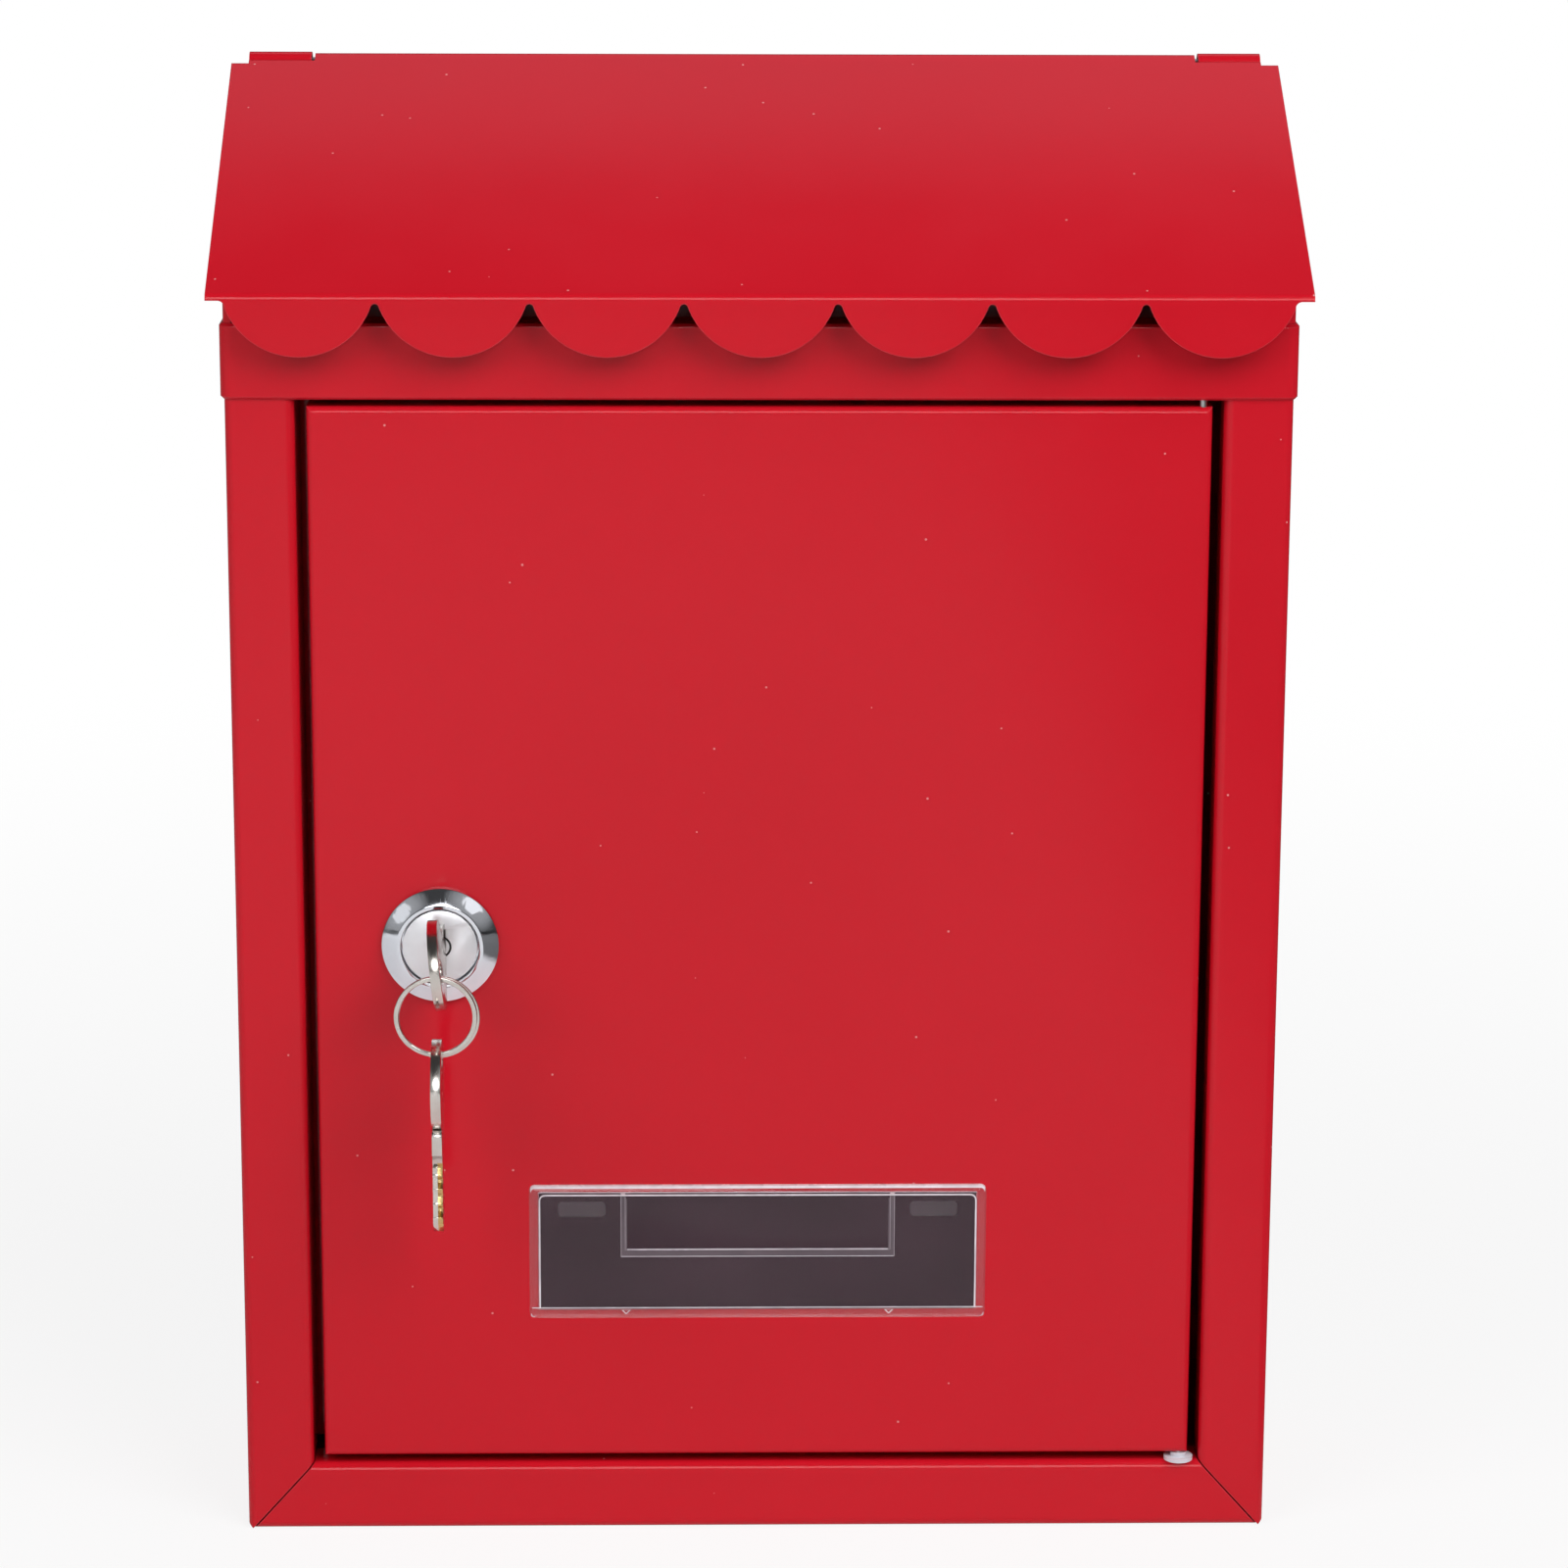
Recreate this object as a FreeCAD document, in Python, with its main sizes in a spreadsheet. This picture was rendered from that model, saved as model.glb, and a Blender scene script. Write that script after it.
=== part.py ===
"""Wall mounted post box: folded sheet body, hinged scalloped lid, lockable front door.

Frame: millimetres, +X to the right, +Y back towards the wall, +Z up.
The origin is the middle of the underside of the base.
"""
import FreeCAD, Part
import Sketcher
import math
import os
import re

DOC = FreeCAD.newDocument("PostBox")
SIZES = DOC.addObject("Spreadsheet::Sheet", "Sizes")

# Driving dimensions in mm and degrees. Those worked out from others follow in the second list.
DRIVING = [
    # Folded body
    ("body_width", 209.5, "outside width over the side walls"),
    ("body_depth", 72.0, "front face to wall face"),
    ("sheet", 0.7, "thickness of every folded sheet"),
    ("bend", 1.0, "inside radius of the folds"),
    ("seam", 0.05, "gap between sheets that lie on each other"),
    ("jamb_width", 13.6, "visible width of each door jamb"),
    ("jamb_return", 16.8, "depth of the left jamb to its strike lip"),
    ("hinge_return", 9.0, "depth of the right jamb's return"),
    ("strike_lip", 5.0, "lip that the lock's cam catches"),
    ("rail_height", 14.2, "height of the rail below the door"),
    ("rail_return", 9.0, "depth of the rail's top fold"),
    ("mitre_gap", 0.2, "half of the open mitre joint"),
    ("tray_flange", 10.0, "height of the tray's upturned flanges"),
    ("drain_radius", 2.5, "drain holes in the tray"),
    ("drain_inset", 22.0, "drain holes from the side walls"),
    # Fixing to the wall
    ("fix_pitch_x", 140.0, "spacing of the wall holes across"),
    ("fix_pitch_z", 180.0, "spacing of the wall holes up"),
    ("fix_centre_z", 145.0, "middle of the wall holes above the base"),
    ("fix_radius", 3.25, "radius of a wall hole"),
    # Header band
    ("header_bottom", 235.6, "underside of the header band"),
    ("header_height", 15.0, "height of the header band"),
    ("header_flange", 9.0, "depth of the header's folds"),
    ("header_wing_end", 1.0, "header's side wings stop this far from the wall"),
    # Lid
    ("lid_side", 2.75, "lid's overhang at each side"),
    ("lid_slope", 27.5, "slope of the lid in degrees"),
    ("lid_overhang", 6.0, "lid's front edge in front of the body"),
    ("slot_height", 6.3, "header's sill to the lid's front edge"),
    ("lid_gap", 0.3, "gap between lid and side walls"),
    ("apron_inset", 0.15, "apron's ends inside the side walls"),
    ("lid_bend", 0.7, "inner radius of the fold above the apron"),
    ("relief_radius", 1.3, "radius at the ends of the apron"),
    ("apron_drop", 12.1, "front edge to the lowest point of the scallops"),
    ("scallop_depth", 9.6, "height of each scallop"),
    ("scallop_space", 1.7, "space between two scallops"),
    ("scallop_count", 7, "scallops along the apron"),
    ("curl_radius", 2.2, "outer radius of the lid's rear curl"),
    ("curl_slit", 0.4, "open slit of the rolled curls"),
    ("rod_gap", 0.1, "radial gap between lid curl and rod"),
    ("ear_radius", 2.5, "outer radius of the rolled ears"),
    ("ear_gap", 0.7, "side gap between curl and ears"),
    ("ear_length", 12.8, "length of each rolled ear"),
    ("ear_inset", 0.75, "ear's outer end inside the side wall's face"),
    ("ear_clear", 0.3, "turning gap between lid and ears"),
    ("tab_step", 1.0, "lid's outer corners set forward of the ear notch"),
    # Door
    ("door_gap_side", 2.35, "gap between door and jambs"),
    ("door_gap_low", 1.8, "gap between door and rail"),
    ("door_gap_top", 1.45, "gap between door and header"),
    ("stop_gap", 0.3, "gap between the door's folded edge and the strike lip"),
    ("door_edge", 1.2, "outer radius of the door's folds"),
    ("hinge_inset", 1.75, "hinge axis from the door's edge"),
    ("hinge_depth", 1.6, "hinge axis behind the door's face"),
    ("pin_radius", 0.8, "radius of the door's hinge pins"),
    ("pin_fit", 0.05, "radial gap round the hinge pins"),
    ("pin_head", 1.6, "radius of a pin's head"),
    ("pin_head_height", 0.8, "thickness of a pin's head"),
    ("pin_reach", 3.0, "length of pin inside the door"),
    ("pin_foot", 3.6, "length of the lower pin below the rail's top"),
    ("washer_radius", 2.95, "radius of the door's bearing washer"),
    ("washer_height", 0.8, "thickness of the washer's flange"),
    ("collar_radius", 1.6, "radius of the washer's collar"),
    ("collar_gap", 0.15, "gap between collar and door"),
    # Lock
    ("lock_inset", 25.0, "lock centre from the door's free edge"),
    ("lock_rise", 109.2, "lock centre above the door's lower edge"),
    ("rosette_radius", 11.75, "radius of the lock's front ring"),
    ("rosette_height", 2.5, "how far the ring stands proud"),
    ("rosette_bevel", 3.1, "width of the ring's bevel"),
    ("rosette_fall", 1.5, "depth of the ring's bevel"),
    ("barrel_radius", 9.0, "radius of the lock's barrel"),
    ("barrel_length", 17.5, "door face to the barrel's rear end"),
    ("plug_radius", 6.0, "radius of the plug"),
    ("plug_head_radius", 7.5, "radius of the plug's front head"),
    ("plug_head_length", 2.0, "length of the plug's front head"),
    ("plug_sink", 0.3, "plug face behind the ring's front"),
    ("plug_fit", 0.05, "radial gap round the plug"),
    ("mouth_gap", 0.3, "radial gap round the plug's head"),
    ("plug_tail", 0.2, "plug shoulder behind the barrel"),
    ("stud_side", 5.8, "square stud that carries the cam"),
    ("stud_length", 2.0, "length of the square stud"),
    ("cam_thick", 2.0, "thickness of the cam"),
    ("cam_width", 11.0, "width of the cam"),
    ("cam_reach", 26.6, "lock centre to the cam's tip"),
    ("cam_gap", 0.3, "gap between cam and strike lip"),
    ("cam_washer_radius", 4.4, "radius of the cam's washer"),
    ("cam_washer_thick", 0.8, "thickness of the cam's washer"),
    ("screw_head_radius", 3.6, "radius of the cam screw's head"),
    ("screw_head_height", 2.0, "height of the cam screw's head"),
    ("screw_radius", 1.6, "radius of the cam screw"),
    ("screw_length", 3.6, "length of the cam screw in the plug"),
    ("nut_flats", 23.0, "lock nut across flats"),
    ("nut_thick", 4.0, "thickness of the lock nut"),
    ("wafer_count", 4, "wafers in the plug"),
    ("wafer_pitch", 3.0, "spacing of the wafers"),
    ("wafer_start", 4.0, "first wafer behind the plug's face"),
    ("wafer_thick", 0.9, "thickness of a wafer"),
    ("wafer_width", 5.6, "width of a wafer"),
    ("wafer_tall", 10.2, "height of a wafer"),
    ("wafer_fit", 0.1, "gap round a wafer in its slot"),
    # Keys
    ("key_thick", 2.0, "thickness of a key"),
    ("blade_width", 7.0, "width of a key's blade"),
    ("blade_length", 16.9, "shoulder to tip of a key"),
    ("tip_length", 2.4, "pointed tip of a blade"),
    ("keyway_fit", 0.1, "gap round the blade in the keyway"),
    ("bow_radius", 9.0, "radius of a key's bow"),
    ("bow_length", 22.4, "shoulder to the end of the bow"),
    ("neck_width", 9.6, "width of a key's neck"),
    ("neck_length", 5.0, "length of a key's neck"),
    ("eye_radius", 2.5, "radius of the hole in a key's bow"),
    ("eye_edge", 4.4, "hole centre to the end of the bow"),
    ("cut_count", 4, "notches in a blade"),
    ("cut_pitch", 3.0, "spacing of the notches"),
    ("cut_start", 3.0, "first notch from the shoulder"),
    ("cut_depth", 1.5, "depth of a notch"),
    ("ring_radius", 7.7, "mean radius of the split ring"),
    ("ring_radial", 1.1, "radial width of the ring's wire"),
    ("ring_axial", 1.4, "width of both turns of the ring"),
    ("ring_groove", 0.2, "groove between the ring's two turns"),
    ("link_reach", 0.95, "ring wire's centre to the edge of an eye"),
    # Name plate
    ("plate_width", 92.9, "width of the name plate's cover"),
    ("plate_height", 28.2, "height of the name plate's cover"),
    ("plate_rise", 44.4, "middle of the name plate above the door's lower edge"),
    ("plate_thick", 1.6, "thickness of the clear cover"),
    ("plate_corner", 1.2, "corner radius of the cover"),
    ("card_width", 88.9, "width of the name card"),
    ("card_height", 24.8, "height of the name card"),
    ("card_thick", 0.3, "thickness of the name card"),
    ("card_fit", 0.1, "gap round the card"),
    ("thumb_width", 55.5, "width of the thumb tab's outline"),
    ("thumb_height", 13.2, "height of the thumb tab's outline"),
    ("thumb_slot", 0.8, "width of the slots beside the tab"),
    ("thumb_under", 1.3, "width of the slot under the tab"),
    ("nick_offset", 26.8, "small nicks from the middle"),
    ("nick_size", 0.7, "half width and height of the small nicks"),
    ("nick_depth", 0.35, "depth of the small nicks"),
]

# Places worked out from the driving dimensions.
DERIVED = [
    ("half_width", "body_width / 2"),
    ("front", "-body_depth / 2"),
    ("back", "body_depth / 2"),
    ("opening_half", "half_width - jamb_width"),
    ("mitre_foot", "half_width - bend"),
    ("header_top", "header_bottom + header_height"),
    ("lid_width", "body_width + 2 * lid_side"),
    ("apron_width", "body_width - 2 * apron_inset"),
    ("lid_front_z", "header_top + slot_height"),
    ("hinge_y", "back - ear_radius"),
    ("lid_front_y", "front - lid_overhang"),
    ("hinge_z", "lid_front_z + (hinge_y - lid_front_y) * tan(lid_slope * 1 deg)"
                " - curl_radius / cos(lid_slope * 1 deg)"),
    ("notch_y", "hinge_y - (curl_radius - sheet) * sin(lid_slope * 1 deg)"
                " - sqrt((ear_radius + ear_clear) ^ 2 - (curl_radius - sheet) ^ 2)"
                " * cos(lid_slope * 1 deg)"),
    ("rod_radius", "curl_radius - sheet - rod_gap"),
    ("ear_start", "half_width - ear_inset - ear_length"),
    ("curl_half", "ear_start - ear_gap"),
    ("wall_top", "lid_front_z - (sheet + lid_gap) / cos(lid_slope * 1 deg)"),
    ("scallop_pitch", "apron_width / scallop_count"),
    ("scallop_top", "lid_front_z - apron_drop + scallop_depth"),
    ("scallop_half", "(scallop_pitch - scallop_space) / 2"),
    ("scallop_arc", "(scallop_half ^ 2 + scallop_depth ^ 2) / (2 * scallop_depth)"),
    ("door_half", "opening_half - door_gap_side"),
    ("door_depth", "jamb_return - stop_gap"),
    ("door_low", "rail_height + door_gap_low"),
    ("door_top", "header_bottom - door_gap_top"),
    ("lock_x", "lock_inset - door_half"),
    ("lock_z", "door_low + lock_rise"),
    ("plate_centre_z", "door_low + plate_rise"),
    ("pin_x", "door_half - hinge_inset"),
    ("pin_y", "front + hinge_depth"),
    ("pin_hole", "pin_radius + pin_fit"),
    ("rosette_face", "front - rosette_height"),
    ("plug_face", "rosette_face + plug_sink"),
    ("plug_end", "front + barrel_length + plug_tail"),
    ("cam_front", "front + jamb_return + sheet + cam_gap"),
    ("eye_reach", "bow_length - eye_edge"),
    ("eye_y", "plug_face - eye_reach"),
    ("ring_top_z", "lock_z - eye_radius + link_reach"),
    ("ring_centre_z", "ring_top_z - ring_radius"),
    ("ring_low_z", "ring_centre_z - ring_radius"),
    ("spare_eye_z", "ring_low_z + link_reach - eye_radius"),
]

ALIASES = [row[0] for row in DRIVING] + [row[0] for row in DERIVED]
NODES = []


def bound(text):
    """Give an expression in which each size's name points at its cell in the sheet."""
    return re.sub(r"[a-z_]\w*", lambda word: "Sizes." + word.group() if word.group() in ALIASES
                  else word.group(), text)


def value(text):
    """Give the present value of an expression of sizes, in plain mm."""
    result = SIZES.evalExpression(text)
    return float(getattr(result, "Value", result))


def fill_sheet():
    """Write the driving dimensions, then the places that follow from them."""
    row = 1
    for name, size, meaning in DRIVING:
        SIZES.set("A%d" % row, str(size))
        SIZES.set("B%d" % row, meaning)
        SIZES.setAlias("A%d" % row, name)
        row += 1
    for name, formula in DERIVED:
        SIZES.set("A%d" % row, "=" + formula)
        SIZES.setAlias("A%d" % row, name)
        row += 1
    DOC.recompute()


def make_body(label):
    """Start a sub-part whose label names its file."""
    body = DOC.addObject("PartDesign::Body", label)
    body.Label = label
    NODES.append(body)
    return body


def place(body, x="0", y="0", z="0"):
    """Put a sub-part at a place given by expressions."""
    for axis, text in (("x", x), ("y", y), ("z", z)):
        body.setExpression("Placement.Base." + axis, bound(text))


def new_sketch(body, plane, offset):
    """Attach a sketch to an origin plane of its body, moved along +Z, +Y or +X by an offset."""
    sketch = body.newObject("Sketcher::SketchObject", body.Label + "_sketch")
    role = plane + "_Plane"
    support = [item for item in body.Origin.OriginFeatures if item.Role == role][0]
    sketch.AttachmentSupport = (support, [""])
    sketch.MapMode = "FlatFace"
    sign = "-" if plane == "XZ" else ""
    sketch.setExpression("AttachmentOffset.Base.z", bound("%s(%s)" % (sign, offset)))
    return sketch


def pin_point(sketch, geometry, which, x, y):
    """Hold a point of a sketch at two expressions from the sketch's origin."""
    for kind, text in (("DistanceX", x), ("DistanceY", y)):
        index = sketch.addConstraint(
            Sketcher.Constraint(kind, -1, 1, geometry, which, value(text)))
        sketch.setExpression("Constraints[%d]" % index, bound(text))


def add_outline(sketch, corners):
    """Draw a closed outline through corners given as pairs of expressions."""
    spots = [FreeCAD.Vector(value(corner[0]), value(corner[1]), 0) for corner in corners]
    first = sketch.GeometryCount
    count = len(spots)
    for index in range(count):
        sketch.addGeometry(Part.LineSegment(spots[index], spots[(index + 1) % count]), False)
    for index in range(count):
        after = first + (index + 1) % count
        sketch.addConstraint(Sketcher.Constraint("Coincident", first + index, 2, after, 1))
    for index in range(count):
        pin_point(sketch, first + index, 1, corners[index][0], corners[index][1])


def add_circle(sketch, x, y, radius):
    """Draw a circle whose centre and radius are expressions."""
    centre = FreeCAD.Vector(value(x), value(y), 0)
    index = sketch.addGeometry(Part.Circle(centre, FreeCAD.Vector(0, 0, 1), value(radius)), False)
    size = sketch.addConstraint(Sketcher.Constraint("Radius", index, value(radius)))
    sketch.setExpression("Constraints[%d]" % size, bound(radius))
    if value(x) == 0 and value(y) == 0:
        sketch.addConstraint(Sketcher.Constraint("Coincident", -1, 1, index, 3))
    else:
        pin_point(sketch, index, 3, x, y)


def extrude(body, sketch, length, kind):
    """Pad or pocket a sketch evenly to both sides of its plane."""
    feature = body.newObject("PartDesign::" + kind, body.Label + "_" + kind.lower())
    feature.Profile = sketch
    feature.Midplane = True
    feature.setExpression("Length", bound(length))
    sketch.Visibility = False
    DOC.recompute()
    return feature


def round_corners(body, feature, plane, corners):
    """Fillet the edges that stand on flagged corners of a padded or cut outline."""
    axis = {"XY": 2, "XZ": 1, "YZ": 0}[plane]
    across = [index for index in range(3) if index != axis]
    for radius in sorted({corner[2] for corner in corners if len(corner) > 2}):
        spots = [(value(c[0]), value(c[1])) for c in corners if len(c) > 2 and c[2] == radius]
        names = []
        for number, edge in enumerate(feature.Shape.Edges, 1):
            ends = [vertex.Point for vertex in edge.Vertexes]
            if len(ends) < 2 or abs(ends[0][axis] - ends[1][axis]) < 1e-6:
                continue
            if any((ends[0][i] - ends[1][i]) ** 2 > 1e-12 for i in across):
                continue
            if any(math.hypot(ends[0][across[0]] - u, ends[0][across[1]] - v) < 1e-4
                   for u, v in spots):
                names.append("Edge%d" % number)
        feature = fillet(body, feature, names, radius)
    return feature


def fillet(body, feature, names, radius):
    """Round the named edges of a feature."""
    result = body.newObject("PartDesign::Fillet", body.Label + "_fillet")
    result.Base = (feature, names)
    result.setExpression("Radius", bound(radius))
    DOC.recompute()
    return result


def chamfer(body, feature, names, size):
    """Bevel the named edges of a feature."""
    result = body.newObject("PartDesign::Chamfer", body.Label + "_chamfer")
    result.Base = (feature, names)
    result.setExpression("Size", bound(size))
    DOC.recompute()
    return result


def slab(body, plane, corners, middle, length, kind="Pad"):
    """Extrude an outline, given by expressions, to both sides of its middle plane."""
    sketch = new_sketch(body, plane, middle)
    add_outline(sketch, [corner[:2] for corner in corners])
    feature = extrude(body, sketch, length, kind)
    return round_corners(body, feature, plane, corners)


def cut(body, plane, corners, middle, length):
    """Cut an outline out of a body, to both sides of its middle plane."""
    return slab(body, plane, corners, middle, length, "Pocket")


def rectangle(left, low, right, high, radius=None):
    """Give the four corners of a rectangle, rounded where a radius is given."""
    corners = [(left, low), (right, low), (right, high), (left, high)]
    return [corner + (radius,) if radius else corner for corner in corners]


def disc(body, plane, circles, middle, length, kind="Pad"):
    """Extrude circles, given as centre and radius, to both sides of their middle plane."""
    sketch = new_sketch(body, plane, middle)
    for x, y, radius in circles:
        add_circle(sketch, x, y, radius)
    return extrude(body, sketch, length, kind)


def turn(body, plane, corners):
    """Revolve a half section about the sketch's upright axis."""
    sketch = new_sketch(body, plane, "0")
    add_outline(sketch, corners)
    feature = body.newObject("PartDesign::Revolution", body.Label + "_turn")
    feature.Profile = sketch
    feature.ReferenceAxis = (sketch, ["V_Axis"])
    feature.Angle = 360
    sketch.Visibility = False
    DOC.recompute()
    return feature


def edges_where(feature, test):
    """Name the edges of a feature whose middle point passes a test."""
    return ["Edge%d" % number for number, edge in enumerate(feature.Shape.Edges, 1)
            if test(edge, edge.BoundBox.Center)]


def repeat(body, feature, pitch, count):
    """Repeat a feature along the X axis of its body."""
    axis = [item for item in body.Origin.OriginFeatures if item.Role == "X_Axis"][0]
    pattern = body.newObject("PartDesign::LinearPattern", body.Label + "_row")
    pattern.Originals = [feature]
    pattern.Direction = (axis, [""])
    pattern.Occurrences = int(value(count))
    pattern.setExpression("Length", bound("(%s) * (%s - 1)" % (pitch, count)))
    body.Tip = pattern
    DOC.recompute()
    return pattern


def make_shell():
    """Fold the back, sides and door jambs from one sheet, with rolled ears for the lid's rod."""
    body = make_body("body_shell")
    outer = "bend + sheet"
    strip = [
        ("strike_lip - opening_half", "front + jamb_return"),
        ("-opening_half", "front + jamb_return", "bend"),
        ("-opening_half", "front", outer),
        ("-half_width", "front", outer),
        ("-half_width", "back", outer),
        ("half_width", "back", outer),
        ("half_width", "front", outer),
        ("opening_half", "front", outer),
        ("opening_half", "front + hinge_return"),
        ("opening_half + sheet", "front + hinge_return"),
        ("opening_half + sheet", "front + sheet", "bend"),
        ("half_width - sheet", "front + sheet", "bend"),
        ("half_width - sheet", "back - sheet", "bend"),
        ("sheet - half_width", "back - sheet", "bend"),
        ("sheet - half_width", "front + sheet", "bend"),
        ("-opening_half - sheet", "front + sheet", "bend"),
        ("-opening_half - sheet", "front + jamb_return + sheet", outer),
        ("strike_lip - opening_half", "front + jamb_return + sheet"),
    ]
    slab(body, "XY", strip, "(hinge_z + 20) / 2", "hinge_z + 20")
    rise = "tan(lid_slope * 1 deg)"
    rear_end = "notch_y - tab_step"
    slope_at = "wall_top + ((%s) - lid_front_y) * " + rise
    above_walls = [
        ("front - 2", slope_at % "front - 2"),
        (rear_end, slope_at % rear_end),
        (rear_end, "hinge_z - ear_radius - sheet"),
        ("back + 2", "hinge_z - ear_radius - sheet"),
        ("back + 2", "hinge_z + 40"),
        ("front - 2", "hinge_z + 40"),
    ]
    cut(body, "YZ", above_walls, "0", "body_width + 10")
    over_jambs = rectangle("bend + sheet - half_width", "header_top - sheet - seam",
                           "half_width - bend - sheet", "hinge_z + 40")
    cut(body, "XZ", over_jambs, "front", "2 * (jamb_return + 2 * sheet)")
    for side in ("-", ""):
        below_mitre = [
            (side + "(opening_half - strike_lip - 2)", "-1"),
            (side + "(opening_half - strike_lip - 2)", "rail_height + mitre_gap"),
            (side + "opening_half", "rail_height + mitre_gap"),
            (side + "(mitre_foot + mitre_gap)", "0"),
            (side + "(mitre_foot + mitre_gap)", "-1"),
        ]
        cut(body, "XZ", below_mitre, "front", "2 * (jamb_return + 2 * sheet)")
        low_corner = [
            (side + "(half_width - bend)", "0"),
            (side + "(half_width + bend)", "0"),
            (side + "(half_width + bend)", "2 * bend"),
        ]
        cut(body, "XZ", low_corner, "front", "4 * (bend + sheet)")
    for side in ("-", ""):
        roll_ear(body, side)
    holes = [(sx + "fix_pitch_x / 2", "fix_centre_z" + sz + "fix_pitch_z / 2", "fix_radius")
             for sx in ("-", "") for sz in (" - ", " + ")]
    disc(body, "XZ", holes, "back", "6 * sheet", "Pocket")


def roll_ear(body, side):
    """Roll one ear: a strip that rises from the back and closes round the rod."""
    middle = side + "(ear_start + ear_length / 2)"
    stem = [
        ("back - sheet", "hinge_z - ear_radius - 2 * sheet"),
        ("back", "hinge_z - ear_radius - 2 * sheet"),
        ("back", "hinge_z"),
        ("back - sheet", "hinge_z"),
    ]
    slab(body, "YZ", stem, middle, "ear_length")
    disc(body, "YZ", [("hinge_y", "hinge_z", "ear_radius"),
                      ("hinge_y", "hinge_z", "ear_radius - sheet")], middle, "ear_length")
    slit = rectangle("back - sheet - curl_slit", "hinge_z - ear_radius - sheet",
                     "back - sheet", "hinge_z")
    cut(body, "YZ", slit, middle, "ear_length")


def make_tray():
    """Fold the bottom: base, rear and side flanges, and the front rail with mitred ends."""
    body = make_body("bottom_tray")
    inside = "half_width - sheet - seam"
    profile = [
        ("front", "0", "bend + sheet"),
        ("front", "rail_height", "bend + sheet"),
        ("front + rail_return", "rail_height"),
        ("front + rail_return", "rail_height - sheet"),
        ("front + sheet", "rail_height - sheet", "bend"),
        ("front + sheet", "sheet", "bend"),
        ("back - 2 * sheet - seam", "sheet", "bend"),
        ("back - 2 * sheet - seam", "tray_flange"),
        ("back - sheet - seam", "tray_flange"),
        ("back - sheet - seam", "0", "bend + sheet"),
    ]
    slab(body, "YZ", profile, "0", "2 * (%s)" % inside)
    for side in ("-", ""):
        past_mitre = [
            (side + "(opening_half - mitre_gap)", "rail_height + 1"),
            (side + "(opening_half - mitre_gap)", "rail_height"),
            (side + "(mitre_foot - mitre_gap)", "0"),
            (side + "(half_width + 2)", "0"),
            (side + "(half_width + 2)", "rail_height + 1"),
        ]
        cut(body, "XZ", past_mitre, "front", "2 * (rail_return + bend)")
        flange = rectangle("front + rail_return + bend", "0", "back - 4 * sheet - bend", "tray_flange")
        slab(body, "YZ", flange, side + "(%s - sheet / 2)" % inside, "sheet")
        corner = rectangle(side + "(%s - bend)" % inside, "back - sheet - seam - bend",
                           side + "(half_width + 2)", "back + 2")
        cut(body, "XY", corner, "0", "2 * tray_flange + 2")
    pin_hole = [("pin_x", "pin_y", "pin_hole")]
    disc(body, "XY", pin_hole, "rail_height", "4 * sheet", "Pocket")
    drains = [(side + "(half_width - drain_inset)", "0", "drain_radius") for side in ("-", "")]
    disc(body, "XY", drains, "0", "4 * sheet", "Pocket")


def make_header():
    """Fold the band over the door: front web, slot sill, door head and two side wings."""
    body = make_body("header_band")
    skin = "half_width + seam + sheet"
    face = "front - seam - sheet"
    corner = "bend + 2 * sheet + seam"
    wrap = [
        ("-(%s)" % skin, face, corner),
        (skin, face, corner),
        (skin, "back - header_wing_end"),
        ("half_width + seam", "back - header_wing_end"),
        ("half_width + seam", "front - seam", "bend + sheet + seam"),
        ("-(half_width + seam)", "front - seam", "bend + sheet + seam"),
        ("-(half_width + seam)", "back - header_wing_end"),
        ("-(%s)" % skin, "back - header_wing_end"),
    ]
    slab(body, "XY", wrap, "header_bottom + header_height / 2", "header_height")
    sill = rectangle("bend + 2 * sheet - half_width", face + " + sheet / 2",
                     "half_width - bend - 2 * sheet", "front + header_flange")
    slab(body, "XY", sill, "header_top - sheet / 2", "sheet")
    head = rectangle("seam + sheet / 2 - opening_half", face + " + sheet / 2",
                     "opening_half - seam - sheet / 2", "front + header_flange")
    last = slab(body, "XY", head, "header_bottom + sheet / 2", "sheet")
    front_y = value(face)
    names = edges_where(last, lambda edge, mid: abs(mid.y - front_y) < 0.01
                        and edge.BoundBox.XLength > value("half_width"))
    chamfer(body, last, names, "sheet * 0.8")
    disc(body, "XY", [("pin_x", "pin_y", "pin_hole")], "header_bottom", "4 * sheet", "Pocket")


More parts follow.
